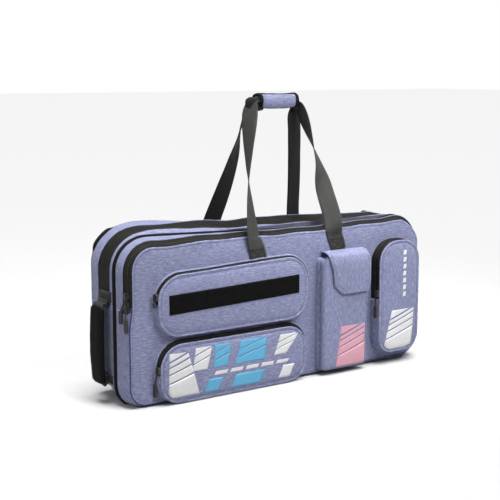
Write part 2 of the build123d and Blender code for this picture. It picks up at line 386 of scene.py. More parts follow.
def loft(path, profile, shape):
    """Rows of points: at each (x, z, normal) of a path, the (y, out) points of a profile, as far out as
    shape(x, z, nx, nz, y, out) says. Nothing goes below the floor."""
    rows = []
    for x, z, nx, nz in path:
        row = []
        for y, out in profile:
            out = shape(x, z, nx, nz, y, out)
            row.append(Vector((x + nx * out, y, max(z + nz * out, 0.0))))
        rows.append(row)
    return rows


def panel(outline, levels, height, flip=False, turned=False, reach=None):
    """A sewn panel: nested rings given by (inset, y) levels, then one even patch inside the last ring.
    height(x, z) is added to y where the panel is full; reach(x, z, nx, nz) is added to the outer insets."""
    cloth = Cloth()
    rings = []
    for inset, y in levels:
        share = smooth((inset - levels[0][0]) / 20)
        ring = []
        for x, z, nx, nz in outline.ring(inset):
            more = reach(x, z, nx, nz) * (1 - smooth((inset - 6) / 24)) if reach else 0.0
            px = x - nx * more
            pz = max(z - nz * more, 0.0)
            ring.append(cloth.add((px, y + share * height(px, pz), pz)))
        rings.append(ring)
    count = len(rings[0])
    for outer, inner in zip(rings, rings[1:]):
        for k in range(count):
            n = (k + 1) % count
            corners = [(i, cloth.front_view(i, turned)) for i in (outer[k], outer[n], inner[n], inner[k])]
            cloth.face(corners[::-1] if flip else corners)
    steps = outline.steps
    last = rings[-1]
    lower = last[:steps + 1]
    upper = [last[0]] + last[:steps:-1] + [last[steps]]
    corner = outline.side_steps + CORNER_STEPS // 2
    bottom = lower[corner:steps - corner + 1]
    top = upper[corner:steps - corner + 1]
    left = lower[corner::-1] + upper[1:corner + 1]
    right = lower[steps - corner:] + upper[steps - 1:steps - corner - 1:-1]
    cloth.patch(coons(cloth, bottom, top, left, right, levels[-1][1], height), flip, turned)
    return cloth


def coons(cloth, bottom, top, left, right, y, height):
    """Fills four chains of points with an even grid."""
    at = cloth.points
    across = len(bottom) - 1
    up = len(left) - 1
    corners = [at[bottom[0]], at[bottom[-1]], at[top[0]], at[top[-1]]]
    index = []
    for i in range(across + 1):
        u = i / across
        column = []
        for j in range(up + 1):
            v = j / up
            if j == 0:
                column.append(bottom[i])
            elif j == up:
                column.append(top[i])
            elif i == 0:
                column.append(left[j])
            elif i == across:
                column.append(right[j])
            else:
                sides = at[bottom[i]] * (1 - v) + at[top[i]] * v + at[left[j]] * (1 - u) + at[right[j]] * u
                low = corners[0] * (1 - u) + corners[1] * u
                high = corners[2] * (1 - u) + corners[3] * u
                place = sides - low * (1 - v) - high * v
                column.append(cloth.add((place.x, y + height(place.x, place.z), place.z)))
        index.append(column)
    return index


def tube(path, y, out, radius, ring=True, sides=8):
    """Round welt along a path, its middle at y and out from the path."""
    rows = []
    for x, z, nx, nz in path:
        row = []
        for k in range(sides):
            angle = 2 * math.pi * k / sides
            reach = out + radius * math.cos(angle)
            row.append(Vector((x + nx * reach, y + radius * math.sin(angle), max(z + nz * reach, 0.05))))
        rows.append(row)
    if ring:
        rows.append(rows[0])
    return Cloth().grid(rows, flip=True, closed=True)


def smooth_line(points, steps=8):
    """Catmull-Rom line through given points, each a tuple of any length."""
    ends = [points[0]] + list(points) + [points[-1]]
    found = []
    for i in range(1, len(ends) - 2):
        a, b, c, d = ends[i - 1:i + 3]
        for k in range(steps):
            t = k / steps
            found.append(tuple(
                0.5 * (2 * q + (r - p) * t + (2 * p - 5 * q + 4 * r - s) * t ** 2
                       + (3 * q - p - 3 * r + s) * t ** 3)
                for p, q, r, s in zip(a, b, c, d)))
    found.append(tuple(points[-1]))
    return found


def spaced(line, gap):
    """(point, normal, direction) at even distances along a line of (point, normal)."""
    found = []
    wait = 0.0
    for (a, na), (b, nb) in zip(line, line[1:]):
        length = (b - a).length
        if length < 1e-6:
            continue
        while wait <= length:
            t = wait / length
            found.append((a.lerp(b, t), na.lerp(nb, t).normalized(), (b - a) / length))
            wait += gap
        wait -= length
    return found


def bead(cloth, start, end, normal, radius, stations, sides=5):
    """A small capsule from start to end, such as one stitch. stations are (share along, share of radius)."""
    direction = (end - start).normalized()
    side = direction.cross(normal).normalized()
    rows = []
    for along, size in stations:
        middle = start.lerp(end, along)
        row = []
        for k in range(sides):
            angle = 2 * math.pi * k / sides
            lift = normal * (0.7 * math.sin(angle)) + side * math.cos(angle)
            row.append(middle + lift * (radius * size))
        rows.append(row)
    cloth.grid(rows, closed=True)


STITCH = ((0.0, 0.15), (0.15, 0.9), (0.5, 1.0), (0.85, 0.9), (1.0, 0.15))
STITCH_LONG = 3.2
STITCH_GAP = 4.8
TOOTH = ((0.0, 0.5), (0.3, 1.0), (0.7, 1.0), (1.0, 0.5))
PANEL_OUT = 80


def skin(piece):
    """A piece's surface in millimetres, to lay things on."""
    points = [v.co * METRE for v in piece.data.vertices]
    return BVHTree.FromPolygons(points, [list(p.vertices) for p in piece.data.polygons])


def laid_on(tree, x, z, lift, side=1):
    """The point and normal on the front (side 1) or the back (side -1) of a surface, or a place at the
    bag's panel where the surface doesn't reach."""
    hit, normal, _, _ = tree.ray_cast(Vector((x, -400 * side, z)), BACK * side)
    if hit is None:
        return Vector((x, -PANEL_OUT * side, z)), -BACK * side
    return hit + normal * lift, normal


# ---------------------------------------------------------------- materials

WEAVE_PITCH = 0.0011


class Graph:
    """One material's nodes."""

    def __init__(self, name):
        self.material = bpy.data.materials.new(name)
        self.material.use_nodes = True
        self.tree = self.material.node_tree
        self.shader = self.tree.nodes["Principled BSDF"]

    def node(self, kind, settings=(), inputs=()):
        made = self.tree.nodes.new(kind)
        for key, value in dict(settings).items():
            setattr(made, key, value)
        for key, value in dict(inputs).items():
            self.feed(made.inputs[key], value)
        return made

    def feed(self, socket, value):
        if isinstance(value, bpy.types.NodeSocket):
            self.tree.links.new(value, socket)
        else:
            socket.default_value = value

    def place(self, source, scale):
        """Texture place: UV is the flat cloth, Object is the frame."""
        origin = self.node("ShaderNodeTexCoord").outputs[source]
        return self.node("ShaderNodeMapping", inputs={"Vector": origin, "Scale": scale}).outputs[0]

    def noise(self, place, scale=1.0, detail=2.0, roughness=0.5):
        inputs = {"Vector": place, "Scale": scale, "Detail": detail, "Roughness": roughness}
        return self.node("ShaderNodeTexNoise", inputs=inputs).outputs[0]

    def math(self, operation, a, b=0.0):
        return self.node("ShaderNodeMath", {"operation": operation}, {0: a, 1: b}).outputs[0]

    def linear(self, value, factor, offset):
        return self.math("ADD", self.math("MULTIPLY", value, factor), offset)

    def wave(self, place, axis, pitch):
        """A sine across one axis, from -1 to 1, with its pitch in metres."""
        parts = self.node("ShaderNodeSeparateXYZ", inputs={0: place})
        return self.math("SINE", self.math("MULTIPLY", parts.outputs[axis], 2 * math.pi / pitch))

    def weave(self):
        """A fine plain weave on the flat cloth."""
        flat = self.place("UV", (1, 1, 1))
        return self.math("MULTIPLY", self.wave(flat, 0, WEAVE_PITCH), self.wave(flat, 1, WEAVE_PITCH))

    def ramp(self, value, *stops):
        made = self.node("ShaderNodeValToRGB", inputs={0: value})
        line = made.color_ramp
        while len(line.elements) < len(stops):
            line.elements.new(0.5)
        for element, (position, colour) in zip(line.elements, stops):
            element.position = position
            element.color = (*colour, 1)
        return made.outputs[0]

    def bump(self, height, strength, distance, normal=None):
        inputs = {"Height": height, "Strength": strength, "Distance": distance}
        if normal is not None:
            inputs["Normal"] = normal
        return self.node("ShaderNodeBump", inputs=inputs).outputs[0]

    def finish(self, colour, roughness, normal=None, **more):
        """Sets the shader's inputs; in their names an underscore stands for a space."""
        if normal:
            more["Normal"] = normal
        for key, value in {"Base_Color": colour, "Roughness": roughness, **more}.items():
            self.feed(self.shader.inputs[key.replace("_", " ")], value)
        return self.material


def shade(colour, factor):
    return tuple(min(c * factor, 1.0) for c in colour)


BLUE = (0.149, 0.159, 0.255)


def melange(name, tint=1.0, contrast=1.0):
    """Heathered canvas: long light and dark threads over a fine plain weave."""
    g = Graph(name)
    base = shade(BLUE, tint)
    long_threads = g.noise(g.place("UV", (78, 420, 1)), detail=3, roughness=0.62)
    short_threads = g.noise(g.place("UV", (240, 1500, 1)), detail=2, roughness=0.6)
    cross_threads = g.noise(g.place("UV", (900, 110, 1)), detail=1)
    patches = g.noise(g.place("UV", (9, 9, 1)), detail=3)
    threads = g.linear(long_threads, 0.52, g.math("MULTIPLY", short_threads, 0.33))
    threads = g.linear(cross_threads, 0.15, threads)
    spread = 0.15 * contrast
    dark = (base[0] * 0.42, base[1] * 0.46, base[2] * 0.62)
    light = tuple(mix(c, 0.66, 0.33) for c in base)
    colour = g.ramp(threads, (0.5 - spread, dark), (0.5 - spread * 0.4, shade(base, 0.84)),
                    (0.5 + spread * 0.35, shade(base, 1.12)), (0.5 + spread, light))
    worn = {"Color": colour, "Value": g.linear(patches, 0.22, 0.89)}
    worn = g.node("ShaderNodeHueSaturation", inputs=worn).outputs[0]
    bumps = g.bump(g.weave(), 0.35, 0.00025)
    bumps = g.bump(threads, 0.55, 0.0009, bumps)
    bumps = g.bump(g.noise(g.place("UV", (34, 34, 1)), detail=4), 0.22, 0.004, bumps)
    return g.finish(worn, 0.75, bumps, Sheen_Weight=0.14, Sheen_Roughness=0.3, Specular_IOR_Level=0.15)


def ribbed(name, colour, pitch, axis, roughness, depth, sheen, shine):
    """Woven tape or webbing with ribs across one direction of its flat cloth."""
    g = Graph(name)
    flat = g.place("UV", (1, 1, 1))
    ribs = g.wave(flat, axis, pitch)
    fine = g.wave(flat, 1 - axis, pitch * 0.7)
    mottle = g.noise(g.place("UV", (60, 60, 1)), detail=4, roughness=0.6)
    tone = g.ramp(mottle, (0.3, shade(colour, 0.72)), (0.55, colour), (0.75, shade(colour, 1.5)))
    rough = g.linear(mottle, 0.25, roughness - 0.12)
    bumps = g.bump(g.linear(g.math("MULTIPLY", ribs, fine), 0.6, ribs), depth, 0.0004)
    bumps = g.bump(g.noise(g.place("UV", (35, 35, 1)), detail=3), 0.15, 0.002, bumps)
    return g.finish(tone, rough, bumps, Sheen_Weight=sheen, Specular_IOR_Level=shine)


def grained(name, colour, scale, roughness, depth=0.3, source="UV", distance=0.0005, shine=0.5, **more):
    """Moulded, coated or brushed surface: fine grain, uneven tone and rubbed patches."""
    g = Graph(name)
    place = g.place(source, (1, 1, 1))
    grain = g.noise(place, scale, 4, 0.65)
    wear = g.noise(place, scale / 18, 3, 0.5)
    tone = g.ramp(wear, (0.3, shade(colour, 0.65)), (0.52, colour), (0.75, shade(colour, 1.35)))
    rough = g.linear(wear, 0.24, roughness - 0.12)
    return g.finish(tone, rough, g.bump(grain, depth, distance), Specular_IOR_Level=shine, **more)


def printed(name, colour, roughness, metallic):
    """Thin printed film that lets the weave show through, with small cracks and rubbed spots."""
    g = Graph(name)
    wear = g.noise(g.place("UV", (150, 150, 1)), detail=5, roughness=0.7)
    tone = g.ramp(wear, (0.28, shade(colour, 0.8)), (0.42, colour), (0.8, shade(colour, 1.08)))
    bumps = g.bump(g.weave(), 0.3, 0.0003)
    bumps = g.bump(g.noise(g.place("UV", (45, 45, 1)), detail=3), 0.25, 0.003, bumps)
    return g.finish(tone, roughness, bumps, Metallic=metallic)


def grey(value):
    return (value, value, value)


# slot and material of each finish
FINISHES = {
    "fabric": ("melange_fabric", melange("melange_canvas")),
    # the piping uses a lighter copy of the canvas: painted highlight for the light that its rolled edge catches
    "fabric_piping": ("melange_fabric", melange("melange_piping", 1.1, 0.7)),
    "tape": ("zip_tape", ribbed(
        "coated_zip_tape", (0.010, 0.010, 0.0085), 0.0012, 1, 0.6, 0.25, 0.005, 0.08)),
    "webbing": ("black_webbing", ribbed(
        "black_ribbed_webbing", (0.022, 0.022, 0.020), 0.0019, 0, 0.55, 0.65, 0.05, 0.25)),
    # a darker copy of the black webbing, with slightly shallower ribs: its darkness is painted shade, for webbing seen
    # from its shaded inner side
    "smooth_webbing": ("black_webbing", ribbed(
        "black_smooth_webbing", grey(0.007), 0.0019, 0, 0.6, 0.5, 0.03, 0.15)),
    "coil": ("zip_tape", grained("zip_coil", grey(0.012), 900, 0.4)),
    "welt": ("black_piping", grained("black_welt", (0.003, 0.003, 0.0035), 1400, 0.65, 0.5, shine=0.1)),
    "padding": ("black_padding", grained("black_pad_cloth", grey(0.004), 1100, 0.75, 0.45, shine=0.08)),
    "loop": ("hook_and_loop", grained(
        "loop_pile", grey(0.004), 1600, 0.95, 1.0, distance=0.0012, shine=0.05)),
    "thread": ("melange_fabric", grained("navy_thread", (0.035, 0.038, 0.105), 2500, 0.7, shine=0.2)),
    "black_thread": ("black_webbing", grained("black_thread", grey(0.004), 2500, 0.7, shine=0.1)),
    "silver": ("melange_fabric", printed("silver_print", (0.45, 0.45, 0.455), 0.42, 0.1)),
    "grey_print": ("melange_fabric", printed("grey_print", (0.48, 0.48, 0.49), 0.5, 0.0)),
    "cyan": ("melange_fabric", printed("cyan_print", (0.055, 0.25, 0.40), 0.42, 0.0)),
    "pink": ("melange_fabric", printed("pink_print", (0.43, 0.215, 0.265), 0.5, 0.0)),
    "enamel": ("slider_metal", grained(
        "black_enamel", (0.014, 0.014, 0.015), 500, 0.28, 0.12, "Object", Metallic=0.3, Coat_Weight=0.4)),
    "rubber": ("pull_rubber", grained("matt_rubber", grey(0.012), 1500, 0.6, 0.4, "Object")),
    "lining": ("lining", grained("padded_lining", (0.05, 0.052, 0.075), 1200, 0.7, 0.5, "Object")),
    "board": ("board", grained("stiff_board", (0.03, 0.03, 0.033), 700, 0.6, 0.3, "Object")),
    "hook": ("hook_and_loop", grained("hook_tape", grey(0.006), 1500, 0.8, 1.0, "Object")),
}


# ---------------------------------------------------------------- joining pieces to the frame

def place(piece, finish, body, *nodes):
    """Gives a piece its finish, the CAD nodes it stands for and its body: one name, or two names and the
    ramp between them for cloth that bends."""
    slot, material = FINISHES[finish]
    piece.data.materials.clear()
    piece.data.materials.append(material)
    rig.slot(piece, slot)
    if nodes:
        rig.replaces(piece, *nodes)
    if isinstance(body, str):
        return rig.ride(piece, body)
    a, b, bend = body
    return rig.blend(piece, a, b, **bend)


def ramp(y_start, y_end, z_zero=None, reach=80.0):
    """Start and end of a bend that runs from y_start to y_end and, with z_zero, fades over reach above
    it, as a zip does where it stops; a negative reach fades the other way."""
    gradient = Vector((0, 1 / (y_end - y_start), 0 if z_zero is None else -1 / reach))
    step = gradient / gradient.length_squared
    start = Vector((0, y_start, z_zero or 0))
    return {"start": tuple(start / METRE), "end": tuple((start + step) / METRE)}


def seam(name, lines, finish, body, radius=0.42, change=Vector):
    """Rows of stitches along lines of (point, normal)."""
    cloth = Cloth()
    for line in lines:
        for point, normal, direction in spaced(line, STITCH_GAP):
            bead(cloth, point, point + direction * STITCH_LONG, normal, radius, STITCH)
    place(cloth.moved(change).piece(name), finish, body)


def coil(name, line, body, change, width=3.0, pitch=2.0, radius=0.62):
    """The coil of a zip: short ribs across a line of (point, normal)."""
    cloth = Cloth()
    for point, normal, direction in spaced(line, pitch):
        side = direction.cross(normal).normalized() * (width / 2)
        bead(cloth, point - side, point + side, normal, radius, TOOTH, sides=4)
    place(cloth.moved(change).piece(name), "coil", body)


def edge_line(path, shape, y, lift, lean=0.0):
    """(point, normal) along a path at a y, as far out as shape says; lean tips the normals forwards."""
    line = []
    for x, z, nx, nz in path:
        out = shape(x, z, nx, nz, y, lift)
        line.append((Vector((x + nx * out, y, z + nz * out)), Vector((nx, -lean, nz)).normalized()))
    return line


def flat_line(ring, y, normal=-BACK):
    """(point, normal) round a ring in the front view at one y."""
    return [(Vector((x, y, z)), normal) for x, z, nx, nz in ring]


def looped(line):
    return line + line[:1]


# ---------------------------------------------------------------- body

body = Outline(BODY_X, BODY_Z, BODY_RADII, ZIP_END_Z)
lower_path = body.half(False)
upper_path = body.half(True)

ZIP_EDGE = 13.5
TOP_EDGE = 11.0
RIGHT_EDGE = 3.0
SEAM_EDGE = 6.5
BASE_EDGE = (5.5, 11.0)
BACK_EDGE = 3.0
# share of the edge inset that the bag's front corner has reached, by distance in front of the middle
FRONT_CORNER = ((59, 0.0), (62.5, 0.03), (65.5, 0.12), (68, 0.27), (70, 0.43), (72.5, 0.64), (74.8, 0.83),
                (75.8, 1.0))
FRONT_LEAN = 0.53 / 0.85
ZIP_LINE_Y = -70.0
BAND_FRONT_Y = -62.5
CORNER_END_Y = -75.8
SOFT_CORNER = 80.0
THICKNESS = {"fabric": CLOTH_THICK, "tape": 0.9}


def edge_inset(x, z, nx, nz):
    """How far inside the outline the front panel's edge runs: most beside the zip, least at the base."""
    side = RIGHT_EDGE if nx > 0 else mix(SEAM_EDGE, ZIP_EDGE, smooth((z - 150) / 60))
    if nz > 0:
        return mix(side, TOP_EDGE, smooth(nz * 1.1))
    return mix(side, mix(*BASE_EDGE, smooth((x - 100) / 180)), smooth(-nz * 1.2))


def back_inset(x, z, nx, nz):
    """How far the back panel's edge is drawn in at the ends, where the gusset rolls round to it."""
    return BACK_EDGE * (1 - smooth(abs(nz) / 0.75))


def welt_inset(x, z, nx, nz):
    """The back welt stands out at the upper corners, and is nearly buried in the cloth elsewhere."""
    corner = smooth((nz - 0.4) / 0.25) * (1 - smooth((nz - 0.93) / 0.07))
    return back_inset(x, z, nx, nz) + mix(3.4, -2.4, corner)


def drawn_in(ring, inset):
    found = []
    for x, z, nx, nz in ring:
        more = inset(x, z, nx, nz)
        found.append((x - nx * more, max(z - nz * more, 0.0), nx, nz))
    return found


def front_shape(x, z, nx, nz, y, lift):
    """The front gusset swells between its seams, and rounds the bag's front corner."""
    share = table_at(FRONT_CORNER, max(-y, FRONT_CORNER[0][0]))
    middle = bell((y - DIVIDER_Y) / (BAND_FRONT_Y - DIVIDER_Y))
    swell = 1.6 * middle ** 0.8 + ripple((x, y, z), 0.4 + 0.8 * middle, 38)
    return lift + 0.6 * smooth((DIVIDER_Y - y) / 9) * (1 - share) + swell - share * edge_inset(x, z, nx, nz)


def rear_shape(x, z, nx, nz, y, lift):
    """The rear gusset swells a little and rolls round to the narrower back panel at both ends."""
    middle = bell((y - DIVIDER_Y) / (BACK_Y - DIVIDER_Y))
    swell = 1.2 * middle ** 0.7 + ripple((x, y, z), middle, 48)
    return lift + swell - back_inset(x, z, nx, nz) * smooth((y - 30) / 42)


def hump(x, centre, width):
    return math.exp(-((x - centre) / width) ** 2)


def fading(x, reach):
    """1 near the left end, falling to 0 over reach."""
    return 1 - smooth((x + 270) / reach)


def top_lines(x):
    """How far the top stands above its flat height at five y, front to back: it is stuffed high at
    the back and the left, and sags where the handles hang and towards the right."""
    sag = smooth((x - 60) / 280)
    wave = ripple((x, 0, 0), 2.4, 60)
    return ((FRONT_Y, wave - 3.0 * hump(x, 30, 110) - 4.0 * hump(x, -300, 60) + 4.0 * hump(x, 325, 45)),
            (DIVIDER_Y, -7.0 + 4.0 * fading(x, 200) + 2.5 * hump(x, -300, 50) - 6.0 * hump(x, 70, 140)
             - 5.0 * hump(x, 190, 110) - 2.0 * sag),
            (REAR_BAND_Y[0], 10.8 * fading(x, 320) - 1.5 - 4.5 * hump(x, -120, 90) - 3.3 * hump(x, 140, 90)
             - 3.0 * sag - wave),
            (REAR_BAND_Y[1], 8.5 + 7.0 * fading(x, 450) - 4.0 * hump(x, -230, 60) - 6.0 * hump(x, -75, 40)
             - 2.5 * hump(x, 60, 120) - 12.0 * sag),
            (BACK_Y, -1.0 + 19.0 * fading(x, 220) + 5.0 * hump(x, -75, 35) - 14.0 * sag))


def rounded_in(radius, z):
    """How far a rounded lower corner is drawn in at a height."""
    return radius - math.sqrt(radius ** 2 - max(radius - z, 0) ** 2)


def tucked(point):
    """The lower rear corners at both ends, which are softer than the front ones, drawn in."""
    share = smooth((point.y - DIVIDER_Y - 10) / 70) * smooth((abs(point.x) - 200) / 133)
    if share == 0 or point.z > SOFT_CORNER:
        return point
    height = max(point.z, 0.0)
    inward = share * (rounded_in(SOFT_CORNER, height) - rounded_in(BODY_RADII[1], height))
    return point - Vector((math.copysign(inward, point.x), 0, 0))


def settled(point):
    """A point of the body moved to where the stuffed top and the soft rear corners take it."""
    share = smooth((BODY_X[1] + 3 - abs(point.x)) / 105) * smooth((point.z - 225) / 95)
    if share == 0:
        return tucked(point)
    lines = top_lines(point.x)
    lift = lines[0][1] if point.y < lines[0][0] else lines[-1][1]
    for (y0, h0), (y1, h1) in zip(lines, lines[1:]):
        if y0 <= point.y <= y1:
            lift = mix(h0, h1, smooth((point.y - y0) / (y1 - y0)))
    return point + UP * (lift * share)


def steps(low, high, count, lift=0.0):
    return [(mix(low, high, i / count), lift) for i in range(count + 1)]


def sewn(name, path, profile, shape, flip, finish, body, *nodes, thick=None, change=settled):
    """A strip of cloth along a path, made from its (y, out) profile."""
    cloth = Cloth().grid(loft(path, profile, shape), flip=flip).moved(change)
    place(cloth.piece(name, thick or THICKNESS[finish]), finish, body, *nodes)


def from_divider(way):
    """The gusset's rolled seam beside the divider's welt."""
    return [(DIVIDER_Y + way * d, lift) for d, lift in
            ((-1.5, -1.2), (3.6, -0.8), (4.8, 0.6), (6.2, 1.0), (8.2, 0.2))]


FRONT_FLAT = from_divider(-1) + steps(DIVIDER_Y - 11, BAND_FRONT_Y + 4, 4)
BACK_SEAM = [(65.2, 0.2), (67, 0.7), (68.2, 0.3), (69.4, -0.9)]
FRONT_BEND = ("bag", "front_lid", ramp(DIVIDER_Y - 3, -66))
FRONT_BEND_ABOVE = ("bag", "front_lid", ramp(DIVIDER_Y - 3, -66, ZIP_END_Z))
REAR_BEND = ("bag", "back_lid", ramp(DIVIDER_Y + 3, REAR_ZIP_Y))
REAR_BEND_ABOVE = ("bag", "back_lid", ramp(DIVIDER_Y + 3, REAR_ZIP_Y, ZIP_END_Z))


def front_compartment():
    """Gusset of the front compartment, and both tapes of its zip."""
    lower = FRONT_FLAT + steps(BAND_FRONT_Y + 1, CORNER_END_Y, 9)
    sewn("front_gusset_cloth", lower_path, lower, front_shape, False, "fabric", FRONT_BEND,
         "front_gusset_lower")
    roll = [(BAND_FRONT_Y + y, lift) for y, lift in ((1.6, 0.6), (0.3, 0.8), (-0.6, 0.1), (-0.2, -1.5))]
    bag_side = [(BAND_FRONT_Y + 0.8, -2.2)] + steps(BAND_FRONT_Y - 0.8, ZIP_LINE_Y + 0.6, 4, -0.2)
    bag_side += [(ZIP_LINE_Y + 0.15, -0.9)]
    lid_side = [(ZIP_LINE_Y - 0.15, -0.9)] + steps(ZIP_LINE_Y - 0.6, -75.6, 4, -0.2) + [(-75.0, -1.8)]
    for name, node, profile, finish, joint in (
            ("gusset_cloth_above_zip_ends", "gusset_upper", FRONT_FLAT + roll, "fabric", FRONT_BEND_ABOVE),
            ("zip_tape_bag_side", "zip_bag_tape", bag_side, "tape", FRONT_BEND_ABOVE),
            ("zip_tape_lid_side", "zip_lid_tape", lid_side, "tape", "front_lid")):
        sewn(f"front_{name}", upper_path, profile, front_shape, True, finish, joint, f"front_{node}")
    line = edge_line(upper_path, front_shape, ZIP_LINE_Y, -1.0, FRONT_LEAN)
    coil("front_zip_coil", line, "front_lid", settled)
    line = edge_line(upper_path, front_shape, BAND_FRONT_Y - 3.2, 0.1, FRONT_LEAN)
    seam("front_zip_stitches_bag_side", [line], "black_thread", FRONT_BEND_ABOVE, change=settled)
    # a navy cord laid in the groove at the front panel's lower edge: a dark thing that stands in for the shade in the
    # seam's valley
    cord = tube(drawn_in(lower_path, edge_inset), FRONT_Y - 0.2, 0.4, 1.5, ring=False)
    place(cord.piece("front_panel_seam_cord"), "thread", "front_lid")


def rear_compartment():
    """Gusset of the rear compartment, in three pieces round its wide zip."""
    front, back = REAR_BAND_Y
    start = from_divider(1)
    lower = start + steps(DIVIDER_Y + 11, 60, 12) + BACK_SEAM
    sewn("rear_gusset_cloth", lower_path, lower, rear_shape, True, "fabric", REAR_BEND, "rear_gusset_lower")
    before = start + steps(DIVIDER_Y + 11, front - 4, 2)
    before += [(front - 1.8, 0.6), (front - 0.5, 0.8), (front + 0.3, 0.0), (front - 0.2, -1.6)]
    behind = [(back + 0.2, -1.6), (back - 0.3, 0.0), (back + 0.5, 0.8), (back + 1.8, 0.6)]
    behind += steps(back + 4, 61, 6) + BACK_SEAM
    bag_side = [(front - 0.6, -2.2), (front + 0.6, -0.6)] + steps(front + 3, REAR_ZIP_Y - 1.5, 5, -0.5)
    bag_side += [(REAR_ZIP_Y - 0.5, -0.4), (REAR_ZIP_Y - 0.15, -1.2)]
    lid_side = [(REAR_ZIP_Y + 0.15, -1.2), (REAR_ZIP_Y + 0.5, -0.4)]
    lid_side += steps(REAR_ZIP_Y + 1.5, back - 3, 5, -0.5) + [(back - 0.6, -0.6), (back + 0.6, -2.2)]
    for name, node, profile, finish, joint in (
            ("gusset_cloth_before_zip", "gusset_front_upper", before, "fabric", REAR_BEND_ABOVE),
            ("gusset_cloth_behind_zip", "gusset_back_upper", behind, "fabric", "back_lid"),
            ("zip_tape_bag_side", "zip_bag_tape", bag_side, "tape", REAR_BEND_ABOVE),
            ("zip_tape_lid_side", "zip_lid_tape", lid_side, "tape", "back_lid")):
        sewn(f"rear_{name}", upper_path, profile, rear_shape, False, finish, joint, f"rear_{node}")
    coil("rear_zip_coil", edge_line(upper_path, rear_shape, REAR_ZIP_Y, -1.3), "back_lid", settled)
    for name, y, joint in (("front", front + 3, REAR_BEND_ABOVE), ("back", back - 3, "back_lid")):
        line = edge_line(upper_path, rear_shape, y, -0.35)
        seam(f"rear_zip_stitches_{name}", [line], "black_thread", joint, change=settled)


def zip_end_tabs():
    """Black tabs sewn over the lower ends of the main zips' tapes."""
    band = (REAR_BAND_Y[1] - REAR_BAND_Y[0]) / 2
    for name, side, y_middle, half, shape, bend in (
            ("front_left", -1, -68, 8.4, front_shape, FRONT_BEND),
            ("front_right", 1, -68, 8.4, front_shape, FRONT_BEND),
            ("rear_right", 1, REAR_ZIP_Y, band - 1, rear_shape, REAR_BEND)):
        def point(u, v):
            z = ZIP_END_Z + 3 - 12 * u
            s = 2 * v - 1
            y = y_middle + s * half * math.sqrt(max(1 - max((ZIP_END_Z - 1 - z) / 8.2, 0) ** 2, 0.01))
            out = shape(side * BODY_X[1], z, side, 0, y, 0.9 - 0.4 * s * s)
            return Vector((side * (BODY_X[1] + out), y, z))

        tab = Cloth().grid(sheet(8, 12, point), flip=side < 0)
        place(tab.piece(f"zip_end_tab_{name}", THICKNESS["tape"]), "webbing", bend)


PANEL_EDGE = [(1.6, 3.6), (0.2, 1.8), (-0.4, 0.0), (0.5, -1.2), (2.2, -1.5), (3.8, -0.9), (4.8, -0.7),
              (6.2, -1.1), (9, -1.3), (15, -1.4), (24, -1.4), (36, -1.5)]
BACK_PANEL_EDGE = [(-0.6, -5.4), (0.8, -2.6), (2.6, -1.2), (4.4, -1.5), (5.4, -1.4), (8, 0.0), (14, 1.0),
                   (24, 2.2), (40, 3.2)]


def at_y(y, levels):
    return [(inset, y + more) for inset, more in levels]


def unevenness(y, coarse, fine):
    """Height over a panel, as two ripples of (amount, size); y picks a pattern of its own."""
    def height(x, z):
        return ripple((x, y, z), *coarse) + ripple((x, y + fine[2], z), *fine[:2])
    return height


def main_panels():
    """The divider's welt, the front panel with the rolled edge that the zip is sewn under, and the softly
    crowned back panel with its welt."""
    welt = tube(body.ring(), DIVIDER_Y, 1.5, 5.0, sides=10)
    place(welt.moved(settled).piece("divider_welt"), "welt", "bag", "divider_piping")

    cloth = panel(body, at_y(FRONT_Y, PANEL_EDGE), unevenness(0, (2.0, 80), (0.9, 30, 50)), reach=edge_inset)
    place(cloth.moved(settled).piece("front_panel_cloth", CLOTH_THICK), "fabric", "front_lid", "front_panel")
    line = flat_line(drawn_in(body.ring(4.7), edge_inset), FRONT_Y - 0.75)
    seam("front_panel_stitches", [looped(line)], "thread", "front_lid", change=settled)

    cloth = panel(body, at_y(BACK_Y, BACK_PANEL_EDGE), unevenness(90, (1.4, 85), (0.4, 26, 60)), flip=True,
                  reach=back_inset)
    place(cloth.moved(settled).piece("back_panel_cloth", CLOTH_THICK), "fabric", "back_lid", "back_panel")
    welt = tube(drawn_in(body.ring(), welt_inset), BACK_Y - 5.2, 0.0, 4.2, sides=10)
    place(welt.moved(settled).piece("back_panel_welt"), "welt", "back_lid", "back_panel_piping")
    line = flat_line(drawn_in(body.ring(4.9), back_inset), BACK_Y - 1.3, BACK)
    seam("back_panel_stitches", [looped(line)], "thread", "back_lid", change=settled)


# ---------------------------------------------------------------- zipped pockets

# flare: how far the pocket's foot stands out at its top, left, right and bottom; strip: share of the
# depth that the cloth behind the zip takes; sag: how far the top hangs down at its left and right
POCKETS = {
    "upper": {"radii": (50, 46), "flare": (8.0, 6.0, 18.0, 1.0), "strip": 0.42, "sag": (14.0, 4.5)},
    "lower": {"radii": (46, 42), "flare": (12.0, 8.0, 17.0, 1.5), "strip": 0.35, "sag": (0.0, 0.0)},
    "end": {"radii": (46, 36), "flare": (5.0, 7.0, 3.0, 2.0), "strip": 0.12, "sag": (0.0, 0.0)},
}
FACE_EDGE = [(-0.2, 0.2), (0.6, -1.6), (1.8, -3.0), (3.0, -2.7), (3.9, -2.3), (4.9, -2.3), (6.2, -3.1),
             (9, -3.9), (14, -4.6), (22, -5.2), (34, -5.6)]
FACE_SEAM_INSET = 4.4


